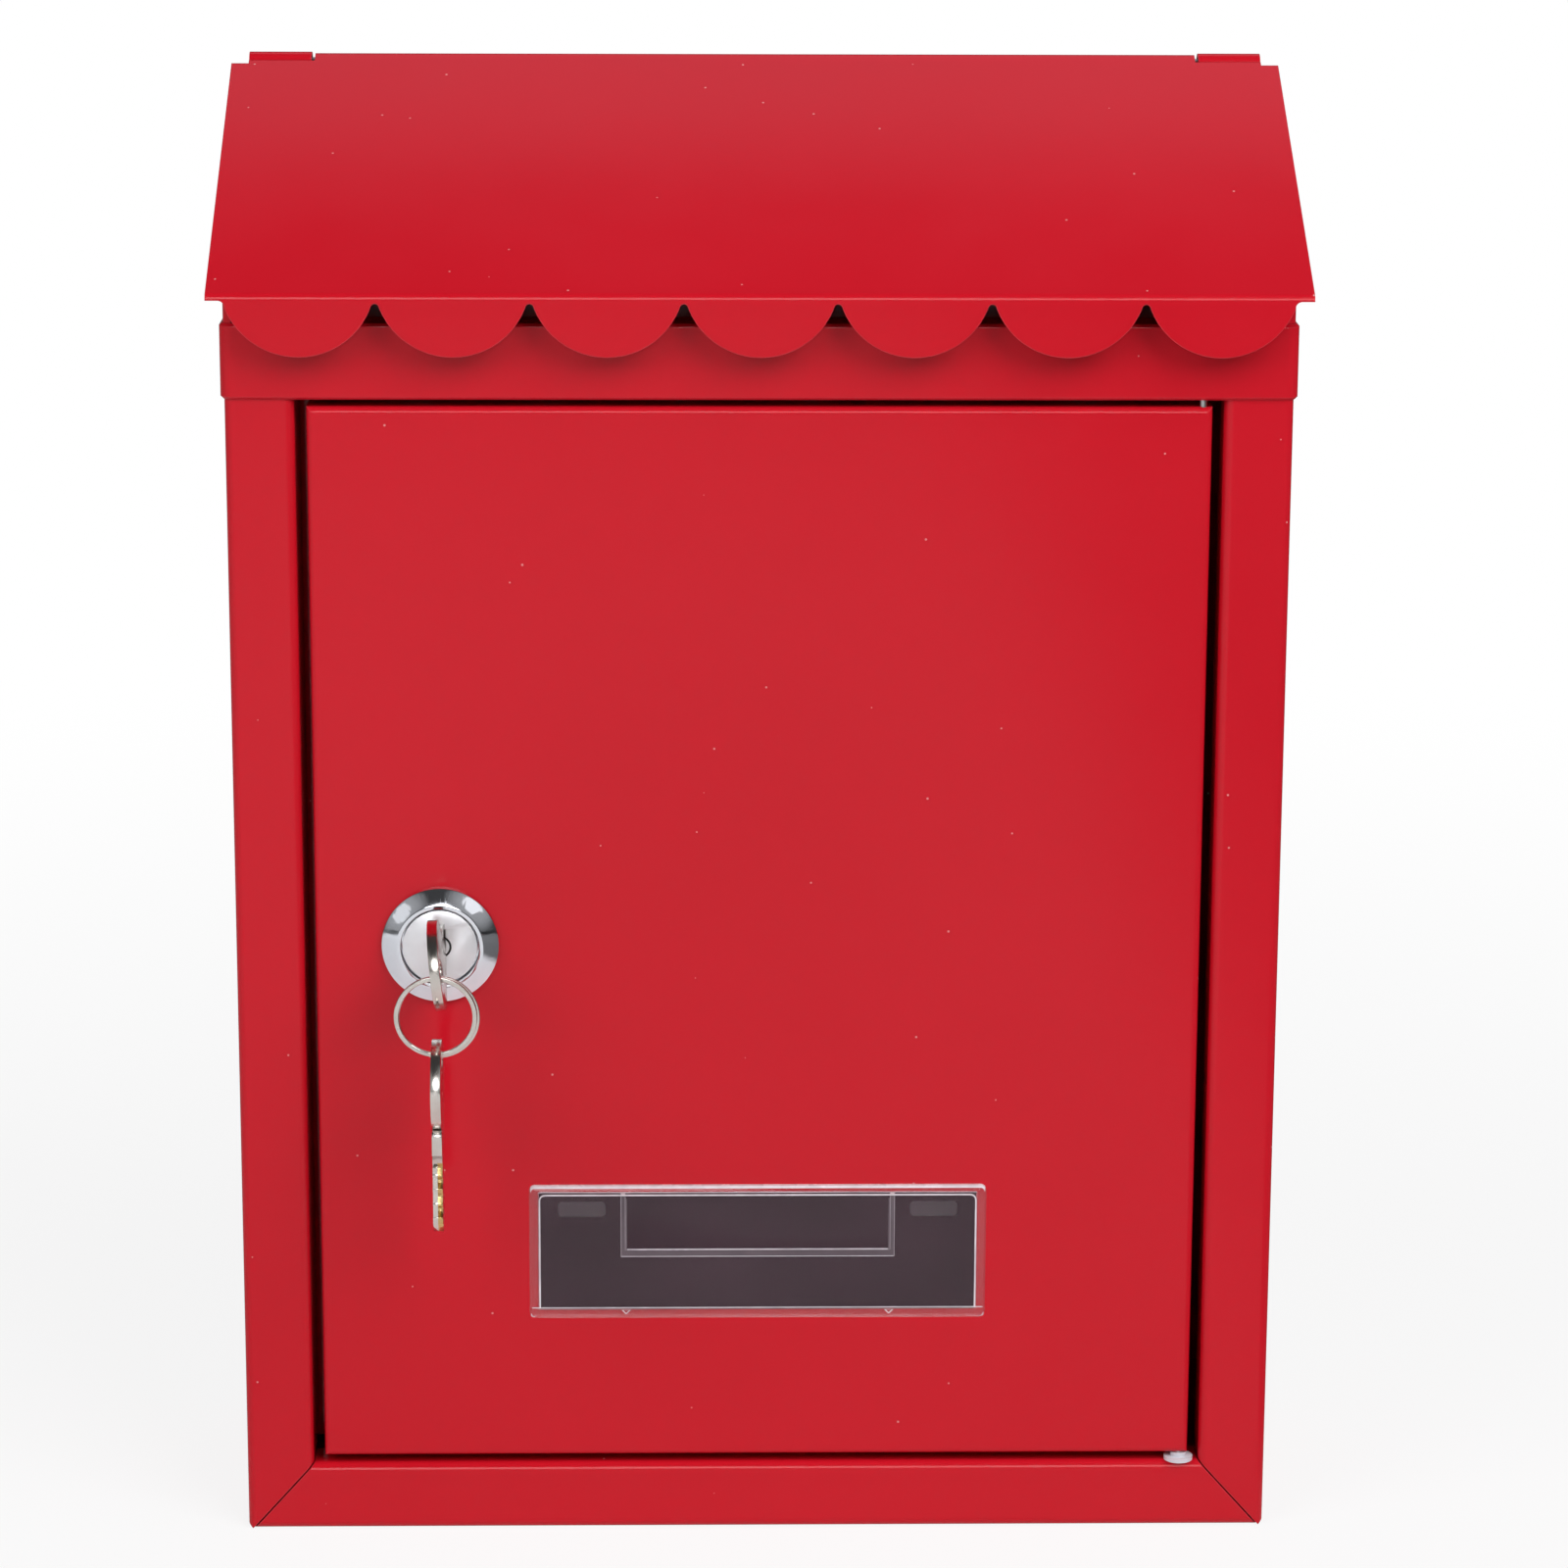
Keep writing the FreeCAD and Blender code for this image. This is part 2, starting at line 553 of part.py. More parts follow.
def make_lid():
    """Fold the lid: sloping top, apron with a row of scallops, and a curl round the rod."""
    body = make_body("roof_lid")
    slope = "lid_slope * 1 deg"
    inner = "(curl_radius - sheet)"
    under = "lid_front_z + sheet * tan(%s) - sheet / cos(%s)" % (slope, slope)
    profile = [
        ("hinge_y - curl_radius * sin(%s)" % slope, "hinge_z + curl_radius * cos(%s)" % slope),
        ("lid_front_y", "lid_front_z", "lid_bend + sheet"),
        ("lid_front_y", "scallop_top"),
        ("lid_front_y + sheet", "scallop_top"),
        ("lid_front_y + sheet", under, "lid_bend"),
        ("hinge_y - %s * sin(%s)" % (inner, slope), "hinge_z + %s * cos(%s)" % (inner, slope)),
    ]
    slab(body, "YZ", profile, "0", "lid_width")
    lobe_middle = "-scallop_pitch * (scallop_count - 1) / 2"
    make_scallop(body, lobe_middle)
    gap_centre = lobe_middle + " + scallop_pitch / 2"
    arch = disc(body, "XZ", [(gap_centre, "scallop_top", "scallop_space / 2")],
                "lid_front_y", "4 * sheet", "Pocket")
    repeat(body, arch, "scallop_pitch", "scallop_count - 1")
    for side in ("-", ""):
        relief = rectangle(side + "(apron_width - scallop_space) / 2", "scallop_top - apron_drop",
                           side + "(lid_width / 2 + 1)", "lid_front_z - 1.5 * lid_bend")
        relief[3] += ("relief_radius",)
        cut(body, "XZ", relief, "lid_front_y", "2 * (sheet + 0.01)")
        ear_notch = rectangle(side + "curl_half", "notch_y",
                              side + "(ear_start + ear_length + ear_clear)", "back + 5")
        cut(body, "XY", ear_notch, "hinge_z", "20")
        tab_end = rectangle(side + "(ear_start + ear_length)", "notch_y - tab_step",
                            side + "(lid_width / 2 + 1)", "back + 5")
        cut(body, "XY", tab_end, "hinge_z", "20")
    disc(body, "YZ", [("hinge_y", "hinge_z", "curl_radius"), ("hinge_y", "hinge_z", inner)],
         "0", "2 * curl_half")
    slit = [
        ("hinge_y - curl_radius * 1.1", "hinge_z - curl_slit"),
        ("hinge_y", "hinge_z - curl_slit"),
        ("hinge_y", "hinge_z"),
        ("hinge_y - curl_radius * 1.1", "hinge_z"),
    ]
    cut(body, "YZ", slit, "0", "2 * curl_half + 1")


def make_scallop(body, middle):
    """Pad one round-ended scallop under the apron's straight edge and repeat it."""
    sketch = new_sketch(body, "XZ", "lid_front_y + sheet / 2")
    centre_z = "scallop_top - scallop_depth + scallop_arc"
    left = FreeCAD.Vector(value("%s - scallop_half" % middle), value("scallop_top"), 0)
    right = FreeCAD.Vector(value("%s + scallop_half" % middle), value("scallop_top"), 0)
    lowest = FreeCAD.Vector(value(middle), value("scallop_top - scallop_depth"), 0)
    sketch.addGeometry(Part.LineSegment(left, right), False)
    arc = Part.Arc(right, lowest, left)
    sketch.addGeometry(arc, False)
    first_is_right = (sketch.getPoint(1, 1) - right).Length < 1e-6
    sketch.addConstraint(Sketcher.Constraint("Coincident", 0, 2, 1, 1 if first_is_right else 2))
    sketch.addConstraint(Sketcher.Constraint("Coincident", 0, 1, 1, 2 if first_is_right else 1))
    pin_point(sketch, 0, 1, "%s - scallop_half" % middle, "scallop_top")
    pin_point(sketch, 0, 2, "%s + scallop_half" % middle, "scallop_top")
    height = sketch.addConstraint(Sketcher.Constraint("DistanceY", -1, 1, 1, 3, value(centre_z)))
    sketch.setExpression("Constraints[%d]" % height, bound(centre_z))
    lobe = extrude(body, sketch, "sheet", "Pad")
    repeat(body, lobe, "scallop_pitch", "scallop_count")


def make_rod():
    """Cut the plain rod that the lid turns on."""
    body = make_body("lid_hinge_rod")
    disc(body, "YZ", [("hinge_y", "hinge_z", "rod_radius")], "0", "2 * (ear_start + ear_length)")


def make_door():
    """Press the door as a shallow pan with a lock hole and two pin holes."""
    body = make_body("door")
    outline = rectangle("-door_half", "door_low", "door_half", "door_top")
    pan = slab(body, "XZ", outline, "front + door_depth / 2", "door_depth")
    face_y = value("front")
    rim = edges_where(pan, lambda edge, mid: abs(edge.BoundBox.YMin - face_y) < 0.01
                      and edge.BoundBox.YLength < 0.01)
    fillet(body, pan, rim, "door_edge")
    hollow = rectangle("sheet - door_half", "door_low + sheet", "door_half - sheet", "door_top - sheet")
    cut(body, "XZ", hollow, "front + door_depth", "2 * (door_depth - sheet)")
    disc(body, "XZ", [("lock_x", "lock_z", "barrel_radius + seam")], "front", "4 * sheet", "Pocket")
    for height in ("door_low", "door_top"):
        disc(body, "XY", [("pin_x", "pin_y", "pin_hole")], height, "4 * sheet", "Pocket")


def make_hinge_pins():
    """Turn the door's pins: a plain one pressed into the rail, a headed one in the header."""
    lower = make_body("door_pin_lower")
    turn(lower, "XZ", [
        ("0", "rail_height - pin_foot"),
        ("pin_radius", "rail_height - pin_foot"),
        ("pin_radius", "door_low + pin_reach"),
        ("0", "door_low + pin_reach"),
    ])
    place(lower, "pin_x", "pin_y")
    upper = make_body("door_pin_upper")
    turn(upper, "XZ", [
        ("0", "door_top - pin_reach"),
        ("pin_radius", "door_top - pin_reach"),
        ("pin_radius", "header_bottom + sheet"),
        ("pin_head", "header_bottom + sheet"),
        ("pin_head", "header_bottom + sheet + pin_head_height"),
        ("0", "header_bottom + sheet + pin_head_height"),
    ])
    place(upper, "pin_x", "pin_y")


def make_washer():
    """Mould the collared washer that carries the door on the rail."""
    body = make_body("hinge_washer")
    turn(body, "XZ", [
        ("pin_hole", "rail_height"),
        ("washer_radius", "rail_height"),
        ("washer_radius", "rail_height + washer_height"),
        ("collar_radius", "rail_height + washer_height"),
        ("collar_radius", "door_low - collar_gap"),
        ("pin_hole", "door_low - collar_gap"),
    ])
    place(body, "pin_x", "pin_y")


def make_lock_body():
    """Turn the lock's bevelled front ring and barrel, bored for the plug."""
    body = make_body("lock_body")
    bore = "plug_radius + plug_fit"
    mouth = "plug_head_radius + mouth_gap"
    step = "plug_face + plug_head_length + plug_fit"
    turn(body, "XY", [
        (bore, step),
        (mouth, step),
        (mouth, "rosette_face"),
        ("rosette_radius - rosette_bevel", "rosette_face"),
        ("rosette_radius", "rosette_face + rosette_fall"),
        ("rosette_radius", "front"),
        ("barrel_radius", "front"),
        ("barrel_radius", "front + barrel_length"),
        (bore, "front + barrel_length"),
    ])
    place(body, "lock_x", "0", "lock_z")


def make_lock_nut():
    """Cut the hexagon nut that clamps the barrel behind the door."""
    body = make_body("lock_nut")
    corners = []
    for index in range(6):
        angle = "(%d * 1 deg)" % (60 * index + 30)
        corners.append(("nut_flats / (2 * cos(30 * 1 deg)) * cos%s" % angle,
                        "nut_flats / (2 * cos(30 * 1 deg)) * sin%s" % angle))
    middle = "front + sheet + nut_thick / 2"
    slab(body, "XZ", corners, middle, "nut_thick")
    disc(body, "XZ", [("0", "0", "barrel_radius + seam")], middle, "nut_thick + 1", "Pocket")
    place(body, "lock_x", "0", "lock_z")


def make_plug():
    """Turn the plug, then cut its keyway, wafer slots and the screw's bore."""
    body = make_body("lock_plug")
    turn(body, "XY", [
        ("0", "plug_face"),
        ("plug_head_radius", "plug_face"),
        ("plug_head_radius", "plug_face + plug_head_length"),
        ("plug_radius", "plug_face + plug_head_length"),
        ("plug_radius", "plug_end"),
        ("0", "plug_end"),
    ])
    stud = rectangle("-stud_side / 2", "-stud_side / 2", "stud_side / 2", "stud_side / 2")
    slab(body, "XZ", stud, "plug_end + stud_length / 2 - sheet / 2", "stud_length + sheet")
    half_way = "(key_thick / 2 + keyway_fit)"
    tall_way = "(blade_width / 2 + keyway_fit)"
    keyway = rectangle("-" + half_way, "-" + tall_way, half_way, tall_way)
    cut(body, "XZ", keyway, "plug_face", "2 * (blade_length + keyway_fit)")
    width = "(wafer_width / 2 + wafer_fit)"
    tall = "(wafer_tall / 2 + wafer_fit)"
    for index in range(int(value("wafer_count"))):
        slot = rectangle("-" + width, "-" + tall, width, tall)
        middle = "plug_face + wafer_start + wafer_pitch * %d" % index
        cut(body, "XZ", slot, middle, "wafer_thick + 2 * wafer_fit")
    disc(body, "XZ", [("0", "0", "screw_radius + seam")], "plug_end + stud_length",
         "2 * screw_length", "Pocket")
    place(body, "lock_x", "0", "lock_z")


def make_wafers():
    """Stamp the sprung wafers, each with a window for the blade."""
    window = rectangle("-(key_thick / 2 + keyway_fit)", "-(blade_width / 2 + keyway_fit)",
                       "key_thick / 2 + keyway_fit", "blade_width / 2 + keyway_fit")
    plate = rectangle("-wafer_width / 2", "-wafer_tall / 2", "wafer_width / 2", "wafer_tall / 2")
    for index in range(int(value("wafer_count"))):
        body = make_body("lock_wafer_%d" % (index + 1))
        middle = "plug_face + wafer_start + wafer_pitch * %d" % index
        slab(body, "XZ", plate, middle, "wafer_thick")
        cut(body, "XZ", window, middle, "wafer_thick + 1")
        place(body, "lock_x", "0", "lock_z")


def make_cam():
    """Cut the cam, its washer and its screw, seated one behind the other."""
    cam = make_body("lock_cam")
    edge = "cam_width / 2"
    plate = rectangle("-" + edge, "-cam_reach", edge, edge, "cam_width / 4")
    slab(cam, "XZ", plate, "cam_front + cam_thick / 2", "cam_thick")
    hole = rectangle("-(stud_side / 2 + seam)", "-(stud_side / 2 + seam)",
                     "stud_side / 2 + seam", "stud_side / 2 + seam")
    cut(cam, "XZ", hole, "cam_front + cam_thick / 2", "cam_thick + 1")
    place(cam, "lock_x", "0", "lock_z")
    behind = "cam_front + cam_thick"
    washer = make_body("cam_washer")
    turn(washer, "XY", [
        ("screw_radius + seam", behind),
        ("cam_washer_radius", behind),
        ("cam_washer_radius", behind + " + cam_washer_thick"),
        ("screw_radius + seam", behind + " + cam_washer_thick"),
    ])
    place(washer, "lock_x", "0", "lock_z")
    screw = make_body("cam_screw")
    seat = behind + " + cam_washer_thick"
    turn(screw, "XY", [
        ("0", "plug_end + stud_length - screw_length + plug_tail"),
        ("screw_radius", "plug_end + stud_length - screw_length + plug_tail"),
        ("screw_radius", seat),
        ("screw_head_radius", seat),
        ("screw_head_radius", seat + " + screw_head_height"),
        ("0", seat + " + screw_head_height"),
    ])
    slot = rectangle("-screw_head_radius", "-seam * 8", "screw_head_radius", "seam * 8")
    cut(screw, "XZ", slot, seat + " + screw_head_height", "screw_head_height")
    place(screw, "lock_x", "0", "lock_z")


def make_key(label):
    """Stamp a flat key: shoulder at its origin, blade towards +Y, bow towards -Y."""
    body = make_body(label)
    half = "blade_width / 2"
    neck = "neck_width / 2"
    blade = [
        ("-neck_length", "-" + neck, "neck_width / 8"),
        ("0", "-" + neck),
        ("0", "-" + half),
        ("blade_length - tip_length", "-" + half),
        ("blade_length", "-blade_width / 8"),
        ("blade_length", "blade_width / 8"),
        ("blade_length - tip_length", half),
        ("0", half),
        ("0", neck),
        ("-neck_length", neck, "neck_width / 8"),
    ]
    slab(body, "YZ", blade, "0", "key_thick")
    disc(body, "YZ", [("bow_radius - bow_length", "0", "bow_radius")], "0", "key_thick")
    disc(body, "YZ", [("-eye_reach", "0", "eye_radius")], "0", "key_thick + 1", "Pocket")
    for index in range(int(value("cut_count"))):
        middle = "(cut_start + cut_pitch * %d)" % index
        depth = "(cut_depth * %s)" % (0.6 + 0.4 * (index % 2))
        notch = [
            (middle + " - cut_pitch / 2.4", half + " + 0.1"),
            (middle + " - cut_pitch / 8", half + " - " + depth),
            (middle + " + cut_pitch / 8", half + " - " + depth),
            (middle + " + cut_pitch / 2.4", half + " + 0.1"),
        ]
        cut(body, "YZ", notch, "0", "key_thick + 1")
    return body


def make_keys():
    """Put one key in the lock and hang its spare on the split ring below."""
    place(make_key("key"), "lock_x", "plug_face", "lock_z")
    spare = make_key("spare_key")
    place(spare, "lock_x", "eye_y", "spare_eye_z - eye_reach")
    spare.Placement.Rotation = FreeCAD.Rotation(FreeCAD.Vector(1, 0, 0), -90)
    ring = make_body("key_ring")
    inside = "ring_radius - ring_radial / 2"
    outside = "ring_radius + ring_radial / 2"
    turn(ring, "XY", [
        (inside, "-ring_axial / 2"),
        (outside, "-ring_axial / 2"),
        (outside, "-ring_groove / 2"),
        (outside + " - ring_groove", "0"),
        (outside, "ring_groove / 2"),
        (outside, "ring_axial / 2"),
        (inside, "ring_axial / 2"),
    ])
    place(ring, "lock_x", "eye_y", "ring_centre_z")


def make_name_plate():
    """Mould the clear cover with its thumb tab, and cut the card behind it."""
    cover = make_body("name_cover")
    half = "plate_width / 2"
    tall = "plate_height / 2"
    sheet_face = "front - seam"
    outline = rectangle("-" + half, "plate_centre_z - " + tall, half, "plate_centre_z + " + tall,
                        "plate_corner")
    block = slab(cover, "XZ", outline, sheet_face + " - plate_thick / 2", "plate_thick")
    front_y = value(sheet_face + " - plate_thick")
    rim = edges_where(block, lambda edge, mid: abs(edge.BoundBox.YMax - front_y) < 0.01)
    chamfer(cover, block, rim, "plate_thick / 4")
    card_half = "(card_width / 2 + card_fit)"
    card_tall = "(card_height / 2 + card_fit)"
    recess = rectangle("-" + card_half, "plate_centre_z - " + card_tall,
                       card_half, "plate_centre_z + " + card_tall)
    cut(cover, "XZ", recess, sheet_face, "2 * (card_thick + card_fit)")
    window_top = "plate_centre_z + card_height / 2"
    side = "thumb_width / 2"
    slot_low = window_top + " - thumb_height"
    slots = [
        ("-" + side, window_top),
        ("-" + side, slot_low),
        (side, slot_low),
        (side, window_top),
        (side + " - thumb_slot", window_top),
        (side + " - thumb_slot", slot_low + " + thumb_under"),
        ("thumb_slot - " + side, slot_low + " + thumb_under"),
        ("thumb_slot - " + side, window_top),
    ]
    cut(cover, "XZ", slots, sheet_face + " - plate_thick", "2 * plate_thick")
    window_low = "plate_centre_z - card_height / 2"
    for sign in ("-", ""):
        nick = [
            (sign + "(nick_offset - nick_size)", window_low),
            (sign + "(nick_offset + nick_size)", window_low),
            (sign + "nick_offset", window_low + " - nick_size"),
        ]
        cut(cover, "XZ", nick, sheet_face + " - plate_thick", "2 * nick_depth")
    card = make_body("name_card")
    sheet_card = rectangle("-card_width / 2", window_low, "card_width / 2", window_top)
    slab(card, "XZ", sheet_card, sheet_face + " - card_thick / 2", "card_thick")


def check_and_write():
    """Stop at any failed object, then write each sub-part to its own file."""
    DOC.recompute()
    for item in DOC.Objects:
        if "Invalid" in item.State or "Error" in item.State:
            raise RuntimeError("%s: %s" % (item.Label, item.State))
    for body in NODES:
        shape = body.Shape
        if shape.isNull() or not shape.isValid() or len(shape.Solids) != 1:
            raise RuntimeError("%s is not one sound solid" % body.Label)
    os.makedirs("parts", exist_ok=True)
    for body in NODES:
        body.Shape.exportStep("parts/%s.step" % body.Label)
        print("%-16s %9.1f mm3" % (body.Label, body.Shape.Volume))


fill_sheet()
make_shell()
make_tray()
make_header()
make_lid()
make_rod()
make_door()
make_hinge_pins()
make_washer()
make_lock_body()
make_lock_nut()
make_plug()
make_wafers()
make_cam()
make_keys()
make_name_plate()
check_and_write()
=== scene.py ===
"""Dresses the wall mounted post box: red powder coat, plated metal, clear cover, keys and studio."""

import logging
import math
from dataclasses import dataclass
from enum import Enum
from typing import Iterable

import bmesh
import bpy
from bmesh.types import BMEdge, BMesh, BMVert
from bpy.types import Material, Node, NodeSocket, NodeTree, Object
from mathutils import Matrix, Vector


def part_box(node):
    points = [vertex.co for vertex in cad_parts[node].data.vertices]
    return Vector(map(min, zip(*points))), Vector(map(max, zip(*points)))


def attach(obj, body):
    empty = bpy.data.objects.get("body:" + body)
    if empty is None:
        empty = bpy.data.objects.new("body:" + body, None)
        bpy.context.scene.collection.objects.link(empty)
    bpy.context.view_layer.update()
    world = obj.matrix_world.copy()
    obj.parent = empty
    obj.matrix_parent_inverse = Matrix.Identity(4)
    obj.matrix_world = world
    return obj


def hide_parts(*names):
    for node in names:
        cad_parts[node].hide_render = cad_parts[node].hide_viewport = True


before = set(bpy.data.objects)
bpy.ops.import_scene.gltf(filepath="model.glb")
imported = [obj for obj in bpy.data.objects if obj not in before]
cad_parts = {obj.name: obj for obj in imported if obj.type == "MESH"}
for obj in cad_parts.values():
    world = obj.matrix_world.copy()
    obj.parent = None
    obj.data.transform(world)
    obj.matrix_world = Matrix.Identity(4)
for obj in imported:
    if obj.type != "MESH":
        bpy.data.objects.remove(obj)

LOG = logging.getLogger("post_box")
MM = 0.001

# Points nearer than this, in metres, are joined in new meshes and in copies of the solids.
NEW_WELD = 1e-7
COPY_WELD = 1e-6
# Faces of a copied solid that differ by less than this many degrees become one face.
FLAT_ANGLE = 0.5
# Rows of edges in a rounded corner of a flat sheet.
CORNER_ROWS = 5
# Most of a noise lies between these values.
NOISE_SPAN = (0.3, 0.7)
# How well a rounded normal matches the plain one: where an edge's painted highlight starts, and
# where it is full.
EDGE_SPAN = (0.995, 0.80)
# Rays that look for an edge near a point.
EDGE_SAMPLES = 6
# Factors on the coordinates that make brush lines long along Z.
GRAIN_STRETCH = (1.0, 1.0, 0.06)
# Places of the colour mix node's sockets, which share their names with other kinds of data.
MIX_FACTOR, MIX_FIRST, MIX_SECOND, MIX_RESULT = 0, 6, 7, 2

Triple = tuple[float, float, float]


class Axis(Enum):
    """Directions that meshes are turned about and cut across."""

    X = (1.0, 0.0, 0.0)
    Y = (0.0, 1.0, 0.0)
    Z = (0.0, 0.0, 1.0)

    @property
    def vector(self) -> Vector:
        """Give the direction as a vector."""
        return Vector(self.value)


class Noise(Enum):
    """Kinds of surface pattern, each with its detail and roughness."""

    FINE = (2.0, 0.5)
    CLOUD = (4.0, 0.6)


# Shader helpers


def new_group(name: str, inputs: tuple[str, ...], outputs: dict[str, str]) -> NodeTree:
    """Start a shader node group with its inputs and outputs.

    Args:
        name: The group's name.
        inputs: The names of its inputs, which are all numbers.
        outputs: Each output's name and its socket type.

    Returns:
        The node group, with an input node called In and an output node called Out.
    """
    tree = bpy.data.node_groups.new(name, "ShaderNodeTree")
    for label in inputs:
        tree.interface.new_socket(name=label, in_out="INPUT", socket_type="NodeSocketFloat")
    for label, kind in outputs.items():
        tree.interface.new_socket(name=label, in_out="OUTPUT", socket_type=kind)
    tree.nodes.new("NodeGroupInput").name = "In"
    tree.nodes.new("NodeGroupOutput").name = "Out"
    return tree


def add_noise(tree: NodeTree, scale: NodeSocket, kind: Noise,
              stretch: Triple = (1.0, 1.0, 1.0)) -> NodeSocket:
    """Add a noise texture on Object coordinates, stretched along the axes.

    Args:
        tree: The node tree that gets the noise.
        scale: The socket that gives the scale.
        kind: How much detail the noise has.
        stretch: Factors along X, Y and Z.

    Returns:
        The socket with the noise.
    """
    place = tree.nodes.new("ShaderNodeTexCoord")
    turn = tree.nodes.new("ShaderNodeMapping")
    turn.inputs["Scale"].default_value = stretch
    noise = tree.nodes.new("ShaderNodeTexNoise")
    noise.inputs["Detail"].default_value = kind.value[0]
    noise.inputs["Roughness"].default_value = kind.value[1]
    tree.links.new(place.outputs["Object"], turn.inputs["Vector"])
    tree.links.new(turn.outputs["Vector"], noise.inputs["Vector"])
    tree.links.new(scale, noise.inputs["Scale"])
    return noise.outputs["Fac"]


def add_math(tree: NodeTree, operation: str, first: NodeSocket,
             second: NodeSocket | float) -> NodeSocket:
    """Add a Math node and give its result.

    Args:
        tree: The node tree that gets the node.
        operation: The operation's name.
        first: The first operand.
        second: The second operand, a socket or a number.

    Returns:
        The socket with the result.
    """
    node = tree.nodes.new("ShaderNodeMath")
    node.operation = operation
    tree.links.new(first, node.inputs[0])
    if isinstance(second, NodeSocket):
        tree.links.new(second, node.inputs[1])
    else:
        node.inputs[1].default_value = second
    return node.outputs["Value"]


def add_span(tree: NodeTree, value: NodeSocket, given: tuple[float, float],
             result: tuple[float, float] = (0.0, 1.0), smooth: bool = False) -> Node:
    """Add a node that maps one range of a value to another.

    Args:
        tree: The node tree that gets the node.
        value: The socket with the value.
        given: The two ends of the value's range.
        result: What the two ends become.
        smooth: Whether the ends are eased.

    Returns:
        The node, with the output Result.
    """
    node = tree.nodes.new("ShaderNodeMapRange")
    if smooth:
        node.interpolation_type = "SMOOTHSTEP"
    for label, amount in zip(("From Min", "From Max", "To Min", "To Max"), (*given, *result)):
        node.inputs[label].default_value = amount
    tree.links.new(value, node.inputs["Value"])
    return node


def add_match(tree: NodeTree, direction: NodeSocket) -> Node:
    """Add a node that compares a direction with its second input, and give the node."""
    node = tree.nodes.new("ShaderNodeVectorMath")
    node.operation = "DOT_PRODUCT"
    tree.links.new(direction, node.inputs[0])
    return node


def add_colour_mix(tree: NodeTree, factor: NodeSocket, second: Triple) -> Node:
    """Add a mix of two colours, the second of them fixed, and give the node."""
    node = tree.nodes.new("ShaderNodeMix")
    node.data_type = "RGBA"
    node.inputs[MIX_SECOND].default_value = (*second, 1.0)
    tree.links.new(factor, node.inputs[MIX_FACTOR])
    return node


def spread_group() -> NodeTree:
    """Build the group that varies a value slowly over a surface.

    Returns:
        A group with inputs Scale, Low and High and the output Value.
    """
    tree = new_group("slow_spread", ("Scale", "Low", "High"), {"Value": "NodeSocketFloat"})
    given, out = tree.nodes["In"], tree.nodes["Out"]
    span = add_span(tree, add_noise(tree, given.outputs["Scale"], Noise.CLOUD), NOISE_SPAN)
    tree.links.new(given.outputs["Low"], span.inputs["To Min"])
    tree.links.new(given.outputs["High"], span.inputs["To Max"])
    tree.links.new(span.outputs["Result"], out.inputs["Value"])
    return tree


def height_group(name: str, stretch: Triple) -> NodeTree:
    """Build a group that gives a fine noise as a height.

    Args:
        name: The group's name.
        stretch: Factors along X, Y and Z.

    Returns:
        A group with the input Scale and the output Height.
    """
    tree = new_group(name, ("Scale",), {"Height": "NodeSocketFloat"})
    height = add_noise(tree, tree.nodes["In"].outputs["Scale"], Noise.FINE, stretch)
    tree.links.new(height, tree.nodes["Out"].inputs["Height"])
    return tree


def dust_group() -> NodeTree:
    """Build the group for sparse specks of dust.

    Returns:
        A group with inputs Scale, Size and Share and the output Mask.
    """
    tree = new_group("dust_specks", ("Scale", "Size", "Share"), {"Mask": "NodeSocketFloat"})
    given, out = tree.nodes["In"], tree.nodes["Out"]
    place = tree.nodes.new("ShaderNodeTexCoord")
    cells = tree.nodes.new("ShaderNodeTexVoronoi")
    tree.links.new(place.outputs["Object"], cells.inputs["Vector"])
    tree.links.new(given.outputs["Scale"], cells.inputs["Scale"])
    near = add_math(tree, "LESS_THAN", cells.outputs["Distance"], given.outputs["Size"])
    split = tree.nodes.new("ShaderNodeSeparateColor")
    tree.links.new(cells.outputs["Color"], split.inputs["Color"])
    chosen = add_math(tree, "LESS_THAN", split.outputs["Red"], given.outputs["Share"])
    both = add_math(tree, "MULTIPLY", near, chosen)
    tree.links.new(both, out.inputs["Mask"])
    return tree


def edge_group() -> NodeTree:
    """Build the group that finds narrow edges and rounds their shading; its mask places painted
    highlights along them.

    Returns:
        A group with the input Radius and the outputs Mask and Normal.
    """
    tree = new_group("soft_edges", ("Radius",),
                     {"Mask": "NodeSocketFloat", "Normal": "NodeSocketVector"})
    given, out = tree.nodes["In"], tree.nodes["Out"]
    rounded = tree.nodes.new("ShaderNodeBevel")
    rounded.samples = EDGE_SAMPLES
    shape = tree.nodes.new("ShaderNodeNewGeometry")
    tree.links.new(given.outputs["Radius"], rounded.inputs["Radius"])
    match = add_match(tree, rounded.outputs["Normal"])
    tree.links.new(shape.outputs["Normal"], match.inputs[1])
    span = add_span(tree, match.outputs["Value"], EDGE_SPAN)
    tree.links.new(span.outputs["Result"], out.inputs["Mask"])
    tree.links.new(rounded.outputs["Normal"], out.inputs["Normal"])
    return tree


@dataclass(frozen=True)
class Effects:
    """The shader groups that several finishes share."""

    spread: NodeTree
    peel: NodeTree
    grain: NodeTree
    dust: NodeTree
    edge: NodeTree

    @classmethod
    def build(cls) -> "Effects":
        """Build every shared group once."""
        peel = height_group("orange_peel", (1.0, 1.0, 1.0))
        grain = height_group("brush_grain", GRAIN_STRETCH)
        return cls(spread_group(), peel, grain, dust_group(), edge_group())


def put_group(tree: NodeTree, group: NodeTree, **values: float) -> Node:
    """Place a shader group in a material with its own values.

    Args:
        tree: The material's node tree.
        group: The group to place.
        **values: The value of each input.

    Returns:
        The group node.
    """
    node = tree.nodes.new("ShaderNodeGroup")
    node.node_tree = group
    for label, amount in values.items():
        node.inputs[label].default_value = amount
    return node


